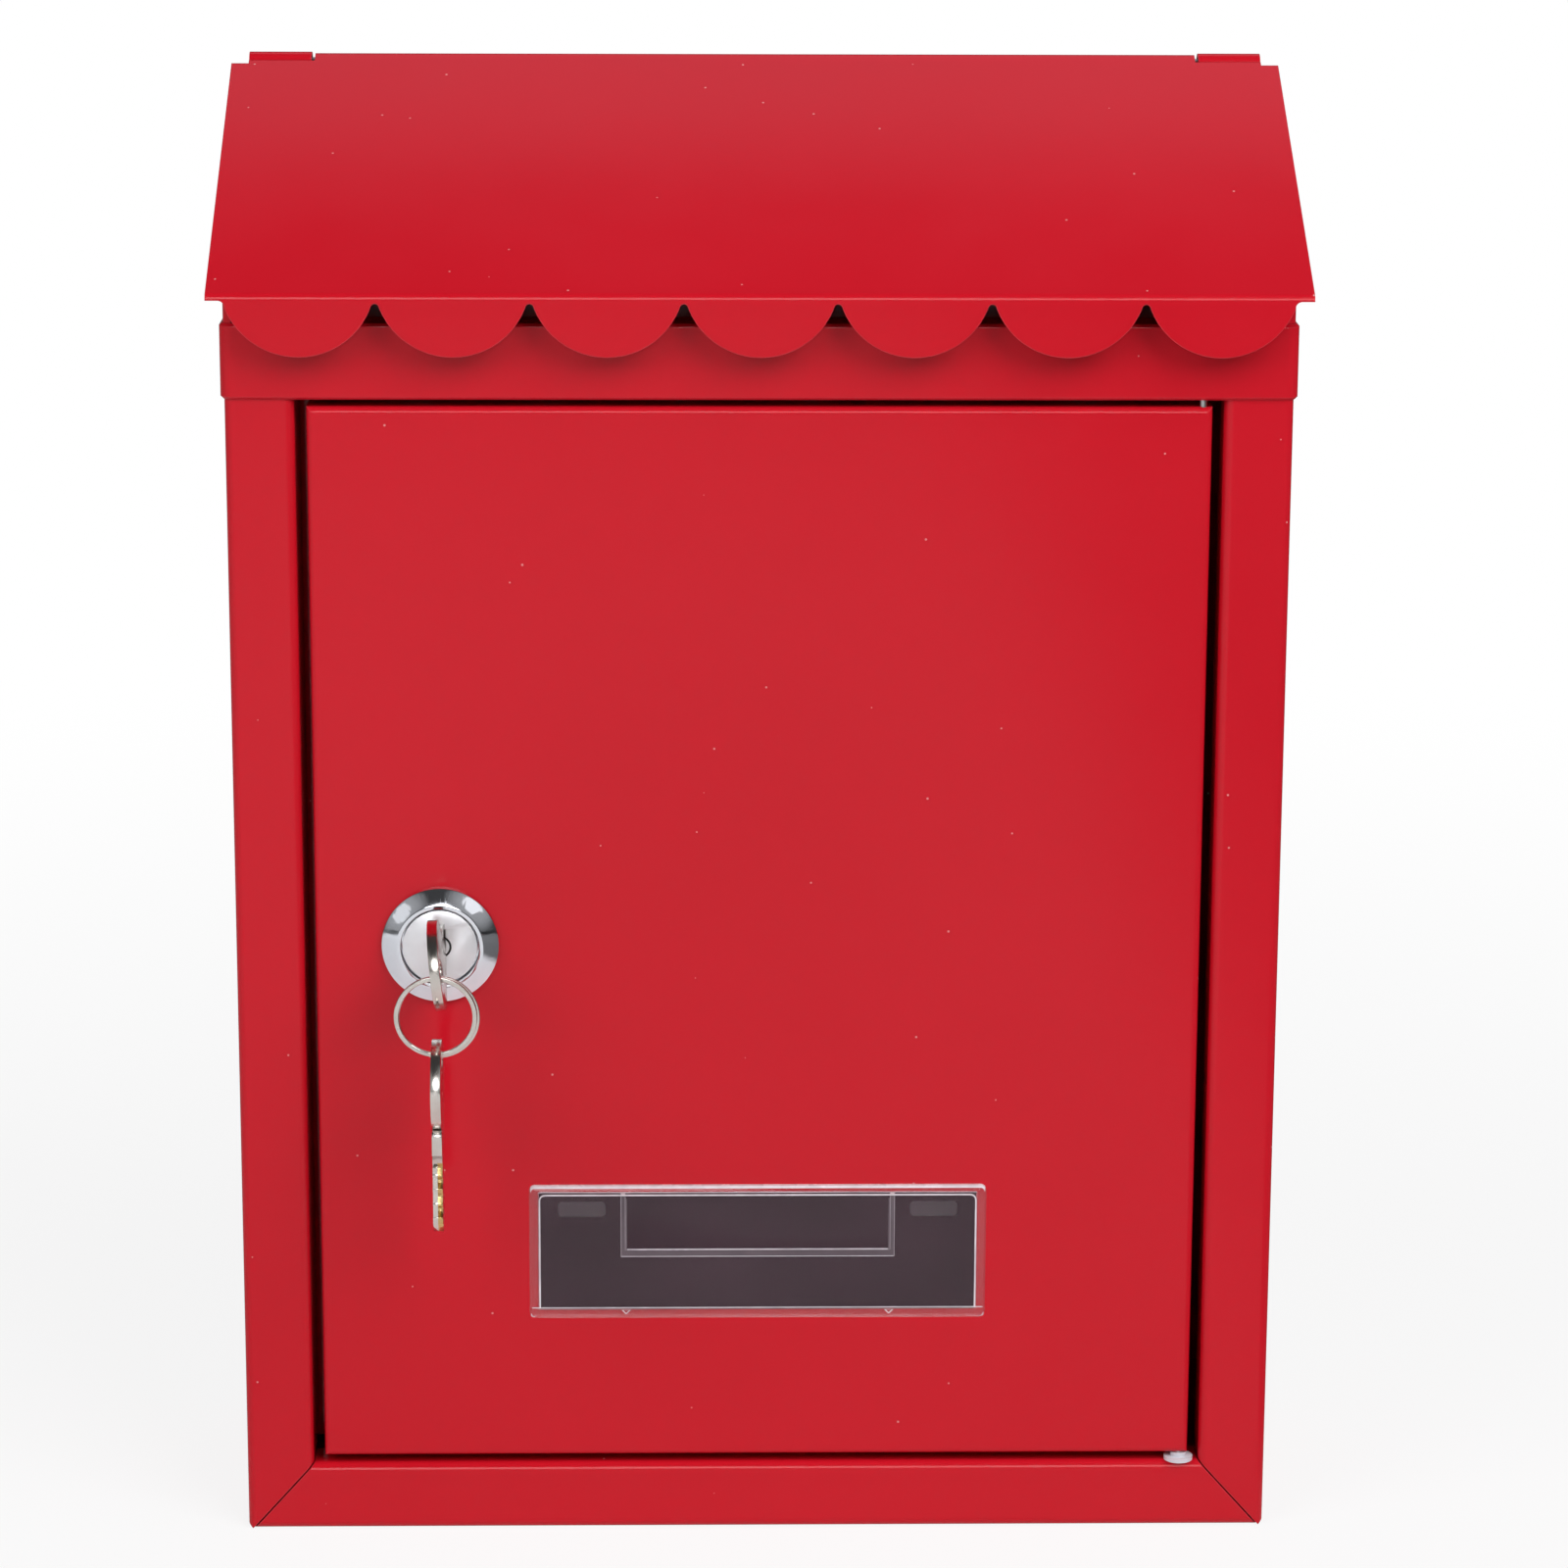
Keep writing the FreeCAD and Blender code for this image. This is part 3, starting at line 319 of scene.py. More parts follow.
def start_material(name: str) -> tuple[Material, Node]:
    """Make a material that holds one Principled shader.

    Args:
        name: The material's name.

    Returns:
        The material and its shader node.
    """
    material = bpy.data.materials.new(name)
    material.use_nodes = True
    return material, material.node_tree.nodes["Principled BSDF"]


def shade_by_spread(material: Material, effects: Effects, scale: float, dark: Triple,
                    light: Triple) -> None:
    """Let the base colour drift between two near shades.

    Args:
        material: The material to change.
        effects: The shared groups.
        scale: The scale of the drift, in turns per metre.
        dark: The darker shade, linear.
        light: The lighter shade, linear.
    """
    tree = material.node_tree
    drift = put_group(tree, effects.spread, Scale=scale, Low=0.0, High=1.0)
    blend = add_colour_mix(tree, drift.outputs["Value"], light)
    blend.inputs[MIX_FIRST].default_value = (*dark, 1.0)
    target = tree.nodes["Principled BSDF"].inputs["Base Color"]
    tree.links.new(blend.outputs[MIX_RESULT], target)


def roughen(material: Material, effects: Effects, scale: float, low: float, high: float) -> None:
    """Let the roughness drift between two values over a material."""
    tree = material.node_tree
    drift = put_group(tree, effects.spread, Scale=scale, Low=low, High=high)
    tree.links.new(drift.outputs["Value"], tree.nodes["Principled BSDF"].inputs["Roughness"])


def bump(material: Material, source: Node, distance: float, strength: float,
         soft: Node | None = None) -> None:
    """Feed a group's Height output to the shader's normal through a Bump node.

    Args:
        material: The material to change.
        source: The group node with the output Height.
        distance: The height of the bumps, in metres.
        strength: The strength of the bumps.
        soft: The group node whose Normal output rounds the edges, if any.
    """
    tree = material.node_tree
    node = tree.nodes.new("ShaderNodeBump")
    node.inputs["Strength"].default_value = strength
    node.inputs["Distance"].default_value = distance
    tree.links.new(source.outputs["Height"], node.inputs["Height"])
    if soft is not None:
        tree.links.new(soft.outputs["Normal"], node.inputs["Normal"])
    tree.links.new(node.outputs["Normal"], tree.nodes["Principled BSDF"].inputs["Normal"])


def lighten(material: Material, mask: NodeSocket, share: float, shade: Triple) -> None:
    """Mix a lighter shade into the base colour where a mask is set.

    Args:
        material: The material to change.
        mask: The socket with the mask.
        share: The share of the shade where the mask is full.
        shade: The lighter shade, linear.
    """
    tree = material.node_tree
    target = tree.nodes["Principled BSDF"].inputs["Base Color"]
    below = target.links[0].from_socket
    blend = add_colour_mix(tree, add_math(tree, "MULTIPLY", mask, share), shade)
    tree.links.new(below, blend.inputs[MIX_FIRST])
    tree.links.new(blend.outputs[MIX_RESULT], target)


# Finishes


@dataclass(frozen=True)
class Finish:
    """What every finish has: two near shades and a roughness, which both drift."""

    name: str
    dark: Triple
    light: Triple
    rough_low: float
    rough_high: float
    drift_scale: float = 240.0
    rough_scale: float = 300.0

    def start(self, effects: Effects) -> tuple[Material, Node]:
        """Make the material with its shades and its roughness, and give it with its shader."""
        material, shader = start_material(self.name)
        shade_by_spread(material, effects, self.drift_scale, self.dark, self.light)
        roughen(material, effects, self.rough_scale, self.rough_low, self.rough_high)
        return material, shader


@dataclass(frozen=True)
class PowderCoat(Finish):
    """Glossy baked enamel on sheet steel."""

    name: str = "red_powder_coat"
    dark: Triple = (0.555, 0.0062, 0.0165)
    light: Triple = (0.585, 0.0075, 0.0190)
    rough_low: float = 0.13
    rough_high: float = 0.17
    drift_scale: float = 9.0
    rough_scale: float = 36.0
    # Every edge is lightened in the base colour by this shade and share: a painted highlight.
    edge_highlight_shade: Triple = (0.86, 0.13, 0.16)
    edge_highlight_share: float = 0.45
    edge_radius: float = 0.00035
    dust_shade: Triple = (0.90, 0.62, 0.60)
    dust_share: float = 0.45
    dust_scale: float = 140.0
    dust_size: float = 0.032
    dust_count: float = 0.8
    peel_scale: float = 520.0
    peel_height: float = 0.000018
    peel_strength: float = 0.6
    specular: float = 0.25

    def build(self, effects: Effects) -> Material:
        """Build the material."""
        material, shader = self.start(effects)
        edge = put_group(material.node_tree, effects.edge, Radius=self.edge_radius)
        # Painted highlight: the base colour is lighter along every edge.
        lighten(material, edge.outputs["Mask"], self.edge_highlight_share, self.edge_highlight_shade)
        dust = put_group(material.node_tree, effects.dust, Scale=self.dust_scale,
                         Size=self.dust_size, Share=self.dust_count)
        lighten(material, dust.outputs["Mask"], self.dust_share, self.dust_shade)
        waves = put_group(material.node_tree, effects.peel, Scale=self.peel_scale)
        bump(material, waves, self.peel_height, self.peel_strength, edge)
        shader.inputs["Specular IOR Level"].default_value = self.specular
        return material


@dataclass(frozen=True)
class PlatedMetal(Finish):
    """Plated or stamped metal with fine brush lines."""

    drift_scale: float = 160.0
    rough_scale: float = 320.0
    grain_height: float = 0.000004
    grain_scale: float = 2400.0
    grain_strength: float = 0.5

    def build(self, effects: Effects) -> Material:
        """Build the material."""
        material, shader = self.start(effects)
        lines = put_group(material.node_tree, effects.grain, Scale=self.grain_scale)
        bump(material, lines, self.grain_height, self.grain_strength)
        shader.inputs["Metallic"].default_value = 1.0
        return material


@dataclass(frozen=True)
class MouldedPlastic(Finish):
    """Opaque moulded plastic."""

    specular: float = 0.5
    peel_scale: float = 1800.0
    peel_height: float = 0.000006
    peel_strength: float = 0.5

    def build(self, effects: Effects) -> Material:
        """Build the material."""
        material, shader = self.start(effects)
        waves = put_group(material.node_tree, effects.peel, Scale=self.peel_scale)
        bump(material, waves, self.peel_height, self.peel_strength)
        shader.inputs["Specular IOR Level"].default_value = self.specular
        return material


@dataclass(frozen=True)
class ClearPlastic(Finish):
    """Clear moulded sheet that shows what lies behind it, with a share of milky haze."""

    drift_scale: float = 40.0
    rough_scale: float = 60.0
    clearness: float = 0.985
    index: float = 1.22
    wave_scale: float = 45.0
    wave_height: float = 0.00002
    wave_strength: float = 0.2

    def build(self, effects: Effects) -> Material:
        """Build the material."""
        material, shader = self.start(effects)
        waves = put_group(material.node_tree, effects.peel, Scale=self.wave_scale)
        bump(material, waves, self.wave_height, self.wave_strength)
        shader.inputs["Transmission Weight"].default_value = self.clearness
        shader.inputs["IOR"].default_value = self.index
        return material


class Finishes:
    """Every finish of the post box, built once."""

    def __init__(self) -> None:
        """Build the shared groups, then each finish."""
        effects = Effects.build()
        self.coat = PowderCoat().build(effects)
        self.zinc = PlatedMetal("zinc_plate", (0.50, 0.51, 0.52), (0.66, 0.66, 0.64),
                                0.22, 0.36).build(effects)
        self.chrome = PlatedMetal("bright_chrome", (0.78, 0.80, 0.86), (0.86, 0.88, 0.94),
                                  0.06, 0.11, grain_height=0.0000003).build(effects)
        self.satin = PlatedMetal("satin_plug", (0.88, 0.88, 0.91), (0.95, 0.95, 0.98),
                                 0.36, 0.44).build(effects)
        self.nickel = PlatedMetal("nickel_key", (0.62, 0.58, 0.53), (0.80, 0.77, 0.73),
                                  0.16, 0.28).build(effects)
        # Near-black colour of the ring about the keyway: painted shade of a recess.
        self.gap = MouldedPlastic("painted_recess_shade", (0.004, 0.004, 0.005), (0.010, 0.010, 0.012),
                                  0.60, 0.80).build(effects)
        self.brass = PlatedMetal("brass_wafer", (0.58, 0.40, 0.14), (0.74, 0.55, 0.24),
                                 0.22, 0.34).build(effects)
        self.nylon = MouldedPlastic("white_nylon", (0.62, 0.62, 0.68), (0.74, 0.74, 0.80),
                                    0.34, 0.46).build(effects)
        self.card = MouldedPlastic("name_card", (0.022, 0.008, 0.014), (0.040, 0.018, 0.028),
                                   0.55, 0.70, drift_scale=34.0, specular=0.2).build(effects)
        self.window = ClearPlastic("clear_window", (0.93, 0.90, 0.92), (0.97, 0.95, 0.96),
                                   0.03, 0.08, clearness=0.995).build(effects)
        self.rim = ClearPlastic("hazy_rim", (0.74, 0.74, 0.78), (0.80, 0.80, 0.84),
                                0.10, 0.16, index=1.40).build(effects)
        # Opaque pale plastic on the cover's upper edges and moulded lines: a painted highlight.
        self.painted_glint = MouldedPlastic("painted_edge_highlight", (0.62, 0.58, 0.63), (0.84, 0.80, 0.85),
                                    0.20, 0.32).build(effects)
        self.web = MouldedPlastic("hazy_web", (0.075, 0.055, 0.068), (0.135, 0.105, 0.125),
                                  0.30, 0.42, drift_scale=90.0).build(effects)
        self.pad = ClearPlastic("faint_pad", (0.92, 0.90, 0.92), (0.97, 0.95, 0.96),
                                0.30, 0.40).build(effects)


def dress(material: Material, *nodes: str) -> None:
    """Give CAD nodes one material.

    Args:
        material: The material.
        *nodes: The nodes' names.
    """
    for name in nodes:
        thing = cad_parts[name]
        thing.data.materials.clear()
        thing.data.materials.append(material)


# Mesh helpers


def finish_mesh(name: str, mesh: BMesh, materials: list[Material], crease: float = 30.0) -> Object:
    """Turn a bmesh into an object at the origin.

    Args:
        name: The piece's name.
        mesh: The bmesh, in metres, which is freed.
        materials: The piece's materials, in the order of its faces' numbers.
        crease: Edges sharper than this many degrees stay sharp.

    Returns:
        The new object.
    """
    bmesh.ops.remove_doubles(mesh, verts=mesh.verts, dist=NEW_WELD)
    bmesh.ops.recalc_face_normals(mesh, faces=mesh.faces)
    for face in mesh.faces:
        face.smooth = True
    data = bpy.data.meshes.new(name)
    mesh.to_mesh(data)
    mesh.free()
    data.set_sharp_from_angle(angle=math.radians(crease))
    for material in materials:
        data.materials.append(material)
    thing = bpy.data.objects.new(name, data)
    bpy.context.collection.objects.link(thing)
    return thing


def copy_node(node: str) -> BMesh:
    """Copy a CAD node's mesh with its loose triangles joined into whole faces.

    Args:
        node: The node's name.

    Returns:
        The copy.
    """
    mesh = bmesh.new()
    mesh.from_mesh(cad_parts[node].data)
    bmesh.ops.remove_doubles(mesh, verts=mesh.verts, dist=COPY_WELD)
    bmesh.ops.dissolve_limit(mesh, angle_limit=math.radians(FLAT_ANGLE), verts=mesh.verts,
                             edges=mesh.edges)
    return mesh


def cut_flat(mesh: BMesh, spot: Vector, axis: Axis, drop_below: bool = False) -> dict:
    """Cut every face of a mesh along a plane.

    Args:
        mesh: The mesh to change.
        spot: A point of the plane.
        axis: The direction that the plane faces.
        drop_below: Whether the part below the plane is deleted.

    Returns:
        What the cut made, as the bisecting operator lists it.
    """
    return bmesh.ops.bisect_plane(mesh, geom=mesh.verts[:] + mesh.edges[:] + mesh.faces[:],
                                  plane_co=spot, plane_no=axis.vector, clear_inner=drop_below)


def soften(mesh: BMesh, width: float, angle: float, rows: int = 2) -> None:
    """Bevel the outward edges of a mesh.

    Args:
        mesh: The mesh to change.
        width: The width of the bevel, in metres.
        angle: Only edges sharper than this many degrees are bevelled.
        rows: The rows of faces in the bevel.
    """
    limit = math.radians(angle)
    edges = [edge for edge in mesh.edges
             if len(edge.link_faces) == 2 and edge.calc_face_angle_signed() > limit]
    bmesh.ops.bevel(mesh, geom=edges, offset=width, offset_type="OFFSET", segments=rows,
                    profile=0.5, affect="EDGES", clamp_overlap=True, material=-1)


def round_corners(mesh: BMesh, radius: float, rows: int) -> None:
    """Round every corner of a flat face."""
    bmesh.ops.bevel(mesh, geom=mesh.verts, offset=radius, offset_type="OFFSET", segments=rows,
                    profile=0.5, affect="VERTICES", clamp_overlap=True, material=-1)


def upright_sheet(left: float, right: float, low: float, high: float, front: float,
                  corner: float = 0.0) -> BMesh:
    """Make one upright face that looks forward, with corners rounded if asked.

    Args:
        left: The lowest X, in metres.
        right: The highest X.
        low: The lowest Z.
        high: The highest Z.
        front: The face's Y.
        corner: The radius of its corners.

    Returns:
        The mesh.
    """
    mesh = bmesh.new()
    bmesh.ops.create_grid(mesh, x_segments=1, y_segments=1, size=0.5)
    bmesh.ops.scale(mesh, verts=mesh.verts, vec=(right - left, high - low, 1.0))
    bmesh.ops.rotate(mesh, verts=mesh.verts, matrix=Matrix.Rotation(math.pi / 2, 3, Axis.X.vector))
    bmesh.ops.translate(mesh, verts=mesh.verts,
                        vec=((left + right) / 2, front, (low + high) / 2))
    if corner:
        round_corners(mesh, corner, CORNER_ROWS)
    return mesh


def thicken(mesh: BMesh, depth: float) -> None:
    """Give an open sheet thickness towards the back."""
    made = bmesh.ops.extrude_face_region(mesh, geom=mesh.faces[:])
    moved = [item for item in made["geom"] if isinstance(item, BMVert)]
    bmesh.ops.translate(mesh, verts=moved, vec=(0.0, depth, 0.0))


def line_frame(left: float, right: float, low: float, high: float, front: float, width: float,
               depth: float, corner: float = 0.0, open_top: bool = False) -> BMesh:
    """Make a thin flat frame, or a U where its top is left open.

    Args:
        left: The lowest X, in metres.
        right: The highest X.
        low: The lowest Z.
        high: The highest Z.
        front: The Y of its front.
        width: The width of its line.
        depth: Its thickness towards the back.
        corner: The outer radius of its corners.
        open_top: Whether its top line is left out.

    Returns:
        The mesh.
    """
    mesh = upright_sheet(left, right, low, high, front, corner)
    middle = mesh.faces[:]
    bmesh.ops.inset_region(mesh, faces=middle, thickness=width, use_boundary=True,
                           use_even_offset=True)
    bmesh.ops.delete(mesh, geom=middle, context="FACES")
    if open_top:
        top = [face for face in mesh.faces if face.calc_center_median().z > high - width]
        bmesh.ops.delete(mesh, geom=top, context="FACES")
    thicken(mesh, depth)
    return mesh


def hand_over(piece: Object, body: str, slot: str, *nodes: str) -> None:
    """Let a piece ride on a body and stand for CAD nodes.

    Args:
        piece: The new piece.
        body: The body that it moves with.
        slot: Not used.
        *nodes: The CAD nodes that it stands for, if any.
    """
    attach(piece, body)
    if nodes:
        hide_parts(*nodes)
    LOG.info("%s on %s: %d faces", piece.name, body, len(piece.data.polygons))


# Sub-assemblies


@dataclass
class Housing:
    """The folded body, the tray, the header band and the small hinge parts."""

    coated: tuple[str, ...] = ("body_shell", "bottom_tray", "header_band")
    plated: tuple[str, ...] = ("lid_hinge_rod", "door_pin_lower", "door_pin_upper")

    def build(self, finishes: Finishes) -> None:
        """Dress the housing's pieces."""
        dress(finishes.coat, *self.coated)
        dress(finishes.zinc, *self.plated)
        dress(finishes.nylon, "hinge_washer")
        LOG.info("housing dressed: %s", ", ".join(self.coated + self.plated))


@dataclass
class Lid:
    """The sloping lid with its scalloped apron."""

    def build(self, finishes: Finishes) -> None:
        """Dress the lid."""
        dress(finishes.coat, "roof_lid")
        LOG.info("lid dressed")


@dataclass
class Door:
    """The pressed door."""

    def build(self, finishes: Finishes) -> None:
        """Dress the door."""
        dress(finishes.coat, "door")
        LOG.info("door dressed")


@dataclass
class NamePlate:
    """The clear cover with its thumb tab, over a card. Sizes are in millimetres."""

    window_corner: float = 1.3
    line: float = 0.28
    line_depth: float = 0.30
    line_proud: float = 0.02
    bevel: float = 0.22
    bevel_rows: int = 3
    bevel_angle: float = 50.0
    plain_edge: float = 0.25
    window_inset: float = 0.1
    flat_share: float = 0.95
    tab_half: float = 27.75
    tab_height: float = 13.2
    web_width: float = 1.2
    web_sink: float = 0.2
    web_depth: float = 0.5
    crease_rise: float = 0.5
    crease_inset: float = 0.5
    crease_height: float = 0.14
    pad_offset: float = 35.75
    pad_drop: float = 3.1
    pad_half: float = 4.8
    pad_half_height: float = 1.5
    pad_corner: float = 0.8
    pad_proud: float = 0.01

    def __post_init__(self) -> None:
        """Look up where the cover and the card lie."""
        self.low, self.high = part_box("name_cover")
        self.card_low, self.card_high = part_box("name_card")

    def build(self, finishes: Finishes) -> None:
        """Build the cover and its fine lines, and dress the card."""
        dress(finishes.card, "name_card")
        self.add_cover(finishes)
        self.add_window_line(finishes)
        self.add_tab(finishes)
        self.add_crease(finishes)
        self.add_pads(finishes)

    @staticmethod
    def hand_over_clear(name: str, mesh: BMesh, materials: list[Material],
                        *nodes: str) -> None:
        """Make a clear piece of the door, which lets light reach what lies behind it.

        Args:
            name: The piece's name.
            mesh: The bmesh, in metres, which is freed.
            materials: The piece's materials.
            *nodes: The CAD nodes that it stands for, if any.
        """
        piece = finish_mesh(name, mesh, materials)
        piece.visible_shadow = False
        piece.visible_diffuse = False
        hand_over(piece, "door", "clear_plastic", *nodes)

    def cut_at_card(self, mesh: BMesh) -> None:
        """Cut a mesh's faces along the card's outline."""
        for axis in (Axis.X, Axis.Z):
            cut_flat(mesh, self.card_low, axis)
            cut_flat(mesh, self.card_high, axis)

    def at_plain_edge(self, spot: Vector) -> bool:
        """Tell whether a face lies on the cover's left, right or lower edge."""
        near = self.plain_edge * MM
        return abs(spot.x) > self.high.x - near or spot.z < self.low.z + near

    def add_cover(self, finishes: Finishes) -> None:
        """Build the cover from its solid, with soft edges, a hazy rim and painted highlights on its
        upper edges and bevels.
        """
        mesh = copy_node("name_cover")
        soften(mesh, self.bevel * MM, self.bevel_angle, self.bevel_rows)
        self.cut_at_card(mesh)
        inner_x = self.card_high.x - self.window_inset * MM
        mesh.normal_update()
        window, rim, painted_glint = range(3)
        for face in mesh.faces:
            spot = face.calc_center_median()
            inside = abs(spot.x) < inner_x and self.card_low.z < spot.z < self.card_high.z
            # Faces that do not look forward, away from the plain edges, get a painted highlight in
            # an opaque pale colour.
            bright = abs(face.normal.y) < self.flat_share and not self.at_plain_edge(spot)
            face.material_index = painted_glint if bright else window if inside else rim
        looks = [finishes.window, finishes.rim, finishes.painted_glint]
        self.hand_over_clear("clear_cover", mesh, looks, "name_cover")

    def add_window_line(self, finishes: Finishes) -> None:
        """Build the moulded line round the card's pocket, in an opaque pale colour that paints a
        highlight on it.
        """
        foot = self.card_low.z + self.crease_rise * MM
        mesh = line_frame(self.card_low.x, self.card_high.x, foot - 2 * self.window_corner * MM,
                          self.card_high.z, self.low.y - self.line_proud * MM,
                          self.line * MM, self.line_depth * MM, self.window_corner * MM)
        cut = cut_flat(mesh, Vector((0.0, 0.0, foot)), Axis.Z, drop_below=True)
        ends = [item for item in cut["geom_cut"] if isinstance(item, BMEdge)]
        bmesh.ops.holes_fill(mesh, edges=ends)
        self.hand_over_clear("pocket_line", mesh, [finishes.painted_glint])

    def add_tab(self, finishes: Finishes) -> None:
        """Build the thin hazy web that joins the thumb tab to the cover."""
        half = self.tab_half * MM
        top = self.card_high.z
        web = line_frame(-half, half, top - self.tab_height * MM, top,
                         self.low.y + self.web_sink * MM, self.web_width * MM,
                         self.web_depth * MM, open_top=True)
        self.hand_over_clear("tab_web", web, [finishes.web])

    def add_crease(self, finishes: Finishes) -> None:
        """Build the fine line along the cover's foot, in the opaque pale colour of a painted
        highlight.
        """
        level = self.card_low.z + self.crease_rise * MM
        inset = self.crease_inset * MM
        mesh = upright_sheet(self.low.x + inset, self.high.x - inset, level,
                             level + self.crease_height * MM, self.low.y - self.line_proud * MM)
        thicken(mesh, self.line_depth * MM)
        self.hand_over_clear("foot_line", mesh, [finishes.painted_glint])

    def add_pads(self, finishes: Finishes) -> None:
        """Build the two faint moulded pads in the upper corners of the window."""
        middle = self.card_high.z - self.pad_drop * MM
        for side, label in ((-1.0, "left"), (1.0, "right")):
            x = side * self.pad_offset * MM
            mesh = upright_sheet(x - self.pad_half * MM, x + self.pad_half * MM,
                                 middle - self.pad_half_height * MM,
                                 middle + self.pad_half_height * MM,
                                 self.low.y - self.pad_proud * MM, self.pad_corner * MM)
            thicken(mesh, self.line_depth * MM)
            self.hand_over_clear("pad_" + label, mesh, [finishes.pad])


@dataclass
class Lock:
    """The cam lock. Sizes are in millimetres."""

    wafers: tuple[str, ...] = ("lock_wafer_1", "lock_wafer_2", "lock_wafer_3", "lock_wafer_4")
    ring_bevel: float = 0.16
    ring_angle: float = 20.0
    ring_crease: float = 22.0
    plug_bevel: float = 0.10
    plug_angle: float = 60.0
    collar_radius: float = 2.1
    collar_wire: float = 0.22
    collar_sides: int = 10
    collar_steps: int = 48
    collar_flatness: float = 0.4

    def build(self, finishes: Finishes) -> None:
        """Build the ring and the plug with soft edges, and dress the rest."""
        body = copy_node("lock_body")
        soften(body, self.ring_bevel * MM, self.ring_angle)
        hand_over(finish_mesh("lock_ring", body, [finishes.chrome], self.ring_crease), "door",
                  "chrome", "lock_body")
        plug = copy_node("lock_plug")
        soften(plug, self.plug_bevel * MM, self.plug_angle)
        hand_over(finish_mesh("lock_face", plug, [finishes.satin]), "plug", "satin_plug",
                  "lock_plug")
        self.add_collar(finishes)
        dress(finishes.zinc, "lock_nut", "lock_cam", "cam_washer", "cam_screw")
        dress(finishes.brass, *self.wafers)
        LOG.info("lock dressed")

    def add_collar(self, finishes: Finishes) -> None:
        """Build a near-black ring about the keyway: painted shade that stands for a round recess."""
        low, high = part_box("lock_plug")
        centre = Vector(((low.x + high.x) / 2, low.y, (low.z + high.z) / 2))
        mesh = bmesh.new()
        bmesh.ops.create_circle(mesh, segments=self.collar_sides, radius=self.collar_wire * MM,
                                cap_ends=False)
        bmesh.ops.translate(mesh, verts=mesh.verts, vec=(self.collar_radius * MM, 0.0, 0.0))
        bmesh.ops.scale(mesh, verts=mesh.verts, vec=(1.0, self.collar_flatness, 1.0))
        bmesh.ops.spin(mesh, geom=mesh.verts[:] + mesh.edges[:], cent=(0.0, 0.0, 0.0),
                       axis=Axis.Y.vector, angle=2 * math.pi, steps=self.collar_steps,
                       use_merge=True)
        bmesh.ops.translate(mesh, verts=mesh.verts, vec=centre)
        hand_over(finish_mesh("keyway_collar", mesh, [finishes.gap]), "plug", "satin_plug")


